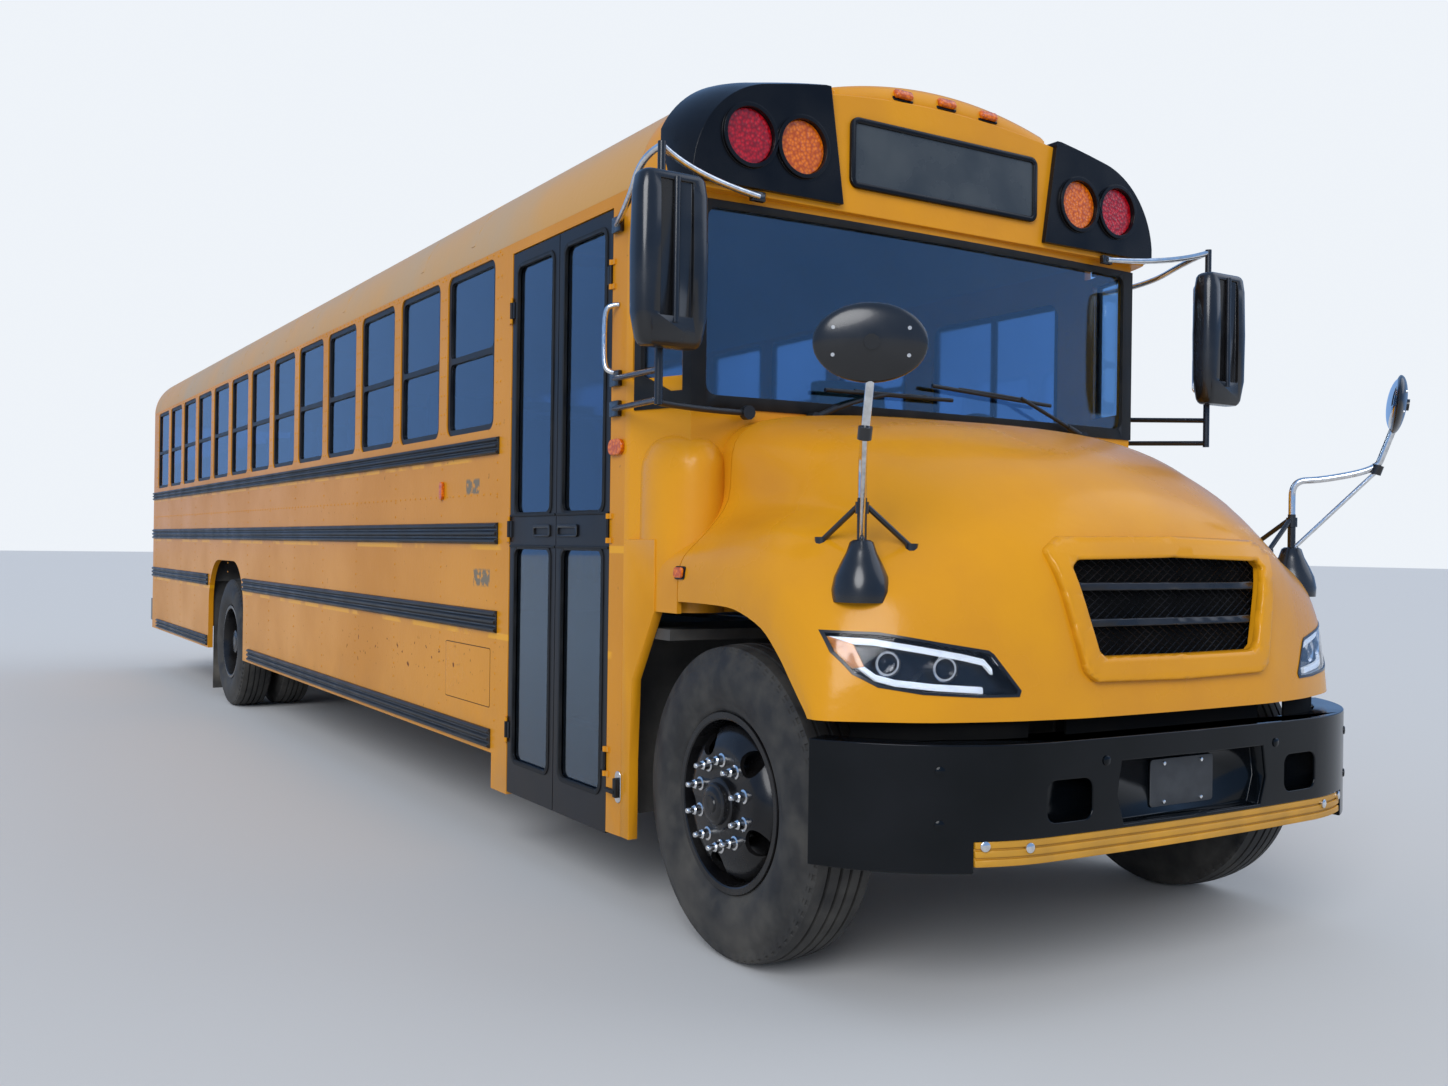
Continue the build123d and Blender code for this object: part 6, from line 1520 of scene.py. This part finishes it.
# Stop arm. A flat eight-sided steel plate in plain red with a white border, hinged to the driver's side
# and folded flat against the wall.
STOP_CENTRE = (-4.040, 1.330)
STOP_REACHES, STOP_FACES = (0.237, 0.220), (1.2525, 1.2545)
stop_red = finish("stop_red", (0.5, 0.012, 0.014), (0.42, 0.015, 0.016), 0.2, 0.3, 0.45)
skin("stop_arm", stop_red, 0.001)
outer, inner = ([(STOP_CENTRE[0] + y, STOP_CENTRE[1] + z) for y, z in ring_of(8, reach)]
                for reach in STOP_REACHES)
border = framing("stop_border", outer, inner, *STOP_FACES, axis=0)
border_white = finish("border_white", (0.80, 0.80, 0.78), (0.66, 0.66, 0.64), 0.2, 0.3, 0.45)
seat(coat(softened(border, 0.0), border_white), "stop_arm", "stop_red")


# Seats. Crowned foam benches and backs in sewn dark green vinyl, on bent steel legs, twelve rows on either
# side of the aisle and one seat for the driver.
seat_vinyl = finish("seat_vinyl", (0.03, 0.075, 0.055), (0.045, 0.09, 0.07), 0.3, 0.38, 0.55,
                    grain=0.25, grain_size=0.004)
ROWS = 12
FRONT_ROW = -2.810
AISLE, BENCH_OUTER = 0.190, 1.171


def cushion(name, low, high, crown, lean=0.0):
    """Crowned closed pad between two corners, its sides pulled in between them, leaning back as it rises."""
    bpy.ops.object.select_all(action="DESELECT")
    bpy.ops.mesh.primitive_cube_add(size=2.0, location=(0, 0, 0))
    pad = bpy.context.object
    pad.name = name
    opened(pad)
    bpy.ops.mesh.subdivide(number_cuts=5)
    bpy.ops.object.mode_set(mode="OBJECT")
    centre, half = (Vector(high) + Vector(low)) / 2, (Vector(high) - Vector(low)) / 2
    for vertex in pad.data.vertices:
        t = vertex.co.copy()
        for axis in range(3):
            others = [t[other] for other in range(3) if other != axis]
            rise = crown * (1 - others[0] ** 4) * (1 - others[1] ** 4)
            vertex.co[axis] = centre[axis] + t[axis] * (half[axis] - crown + rise)
        vertex.co.y += lean * (vertex.co.z - low[2])
    altered(pad, "BEVEL", width=0.018, segments=2, limit_method="ANGLE", angle_limit=math.radians(50))
    altered(pad, "SUBSURF", levels=1, render_levels=1)
    alone(pad)
    bpy.ops.object.shade_smooth()
    return coat(pad, seat_vinyl)


for side, node in ((-1, "seats_right"), (1, "seats_left")):
    pads = []
    near, far = sorted((side * AISLE, side * BENCH_OUTER))
    for i in range(ROWS):
        y = FRONT_ROW + PITCH * i
        pads.append(cushion("bench", (near, y, 1.380), (far, y + 0.410, 1.505), 0.012))
        pads.append(cushion("bench_back", (near, y + 0.390, 1.400), (far, y + 0.470, 2.155), 0.010, 0.070))
    if side > 0:
        pads.append(cushion("driver_seat", (0.390, -4.090, 1.440), (0.890, -3.640, 1.565), 0.014))
        pads.append(cushion("driver_back", (0.410, -3.670, 1.470), (0.870, -3.570, 2.235), 0.014, 0.090))
    benches = joined(pads, node + "_pads")
    seat(benches, "bus", "seat_vinyl", node)
seat_steel = finish("seat_steel", (0.25, 0.25, 0.26), (0.18, 0.18, 0.18), 0.1, 0.35, 0.5, metal=0.8)
skin("seat_frames", seat_steel)


# Dashboard. Moulded black plastic in a fine grain, fixed to the cowl behind the windshield, with the
# steering column and wheel.
dash_black = finish("dash_black", (0.03, 0.03, 0.031), (0.05, 0.05, 0.05), 0.1, 0.5, 0.7,
                    grain=0.3, grain_size=0.003)
skin("dashboard", dash_black, 0.004)
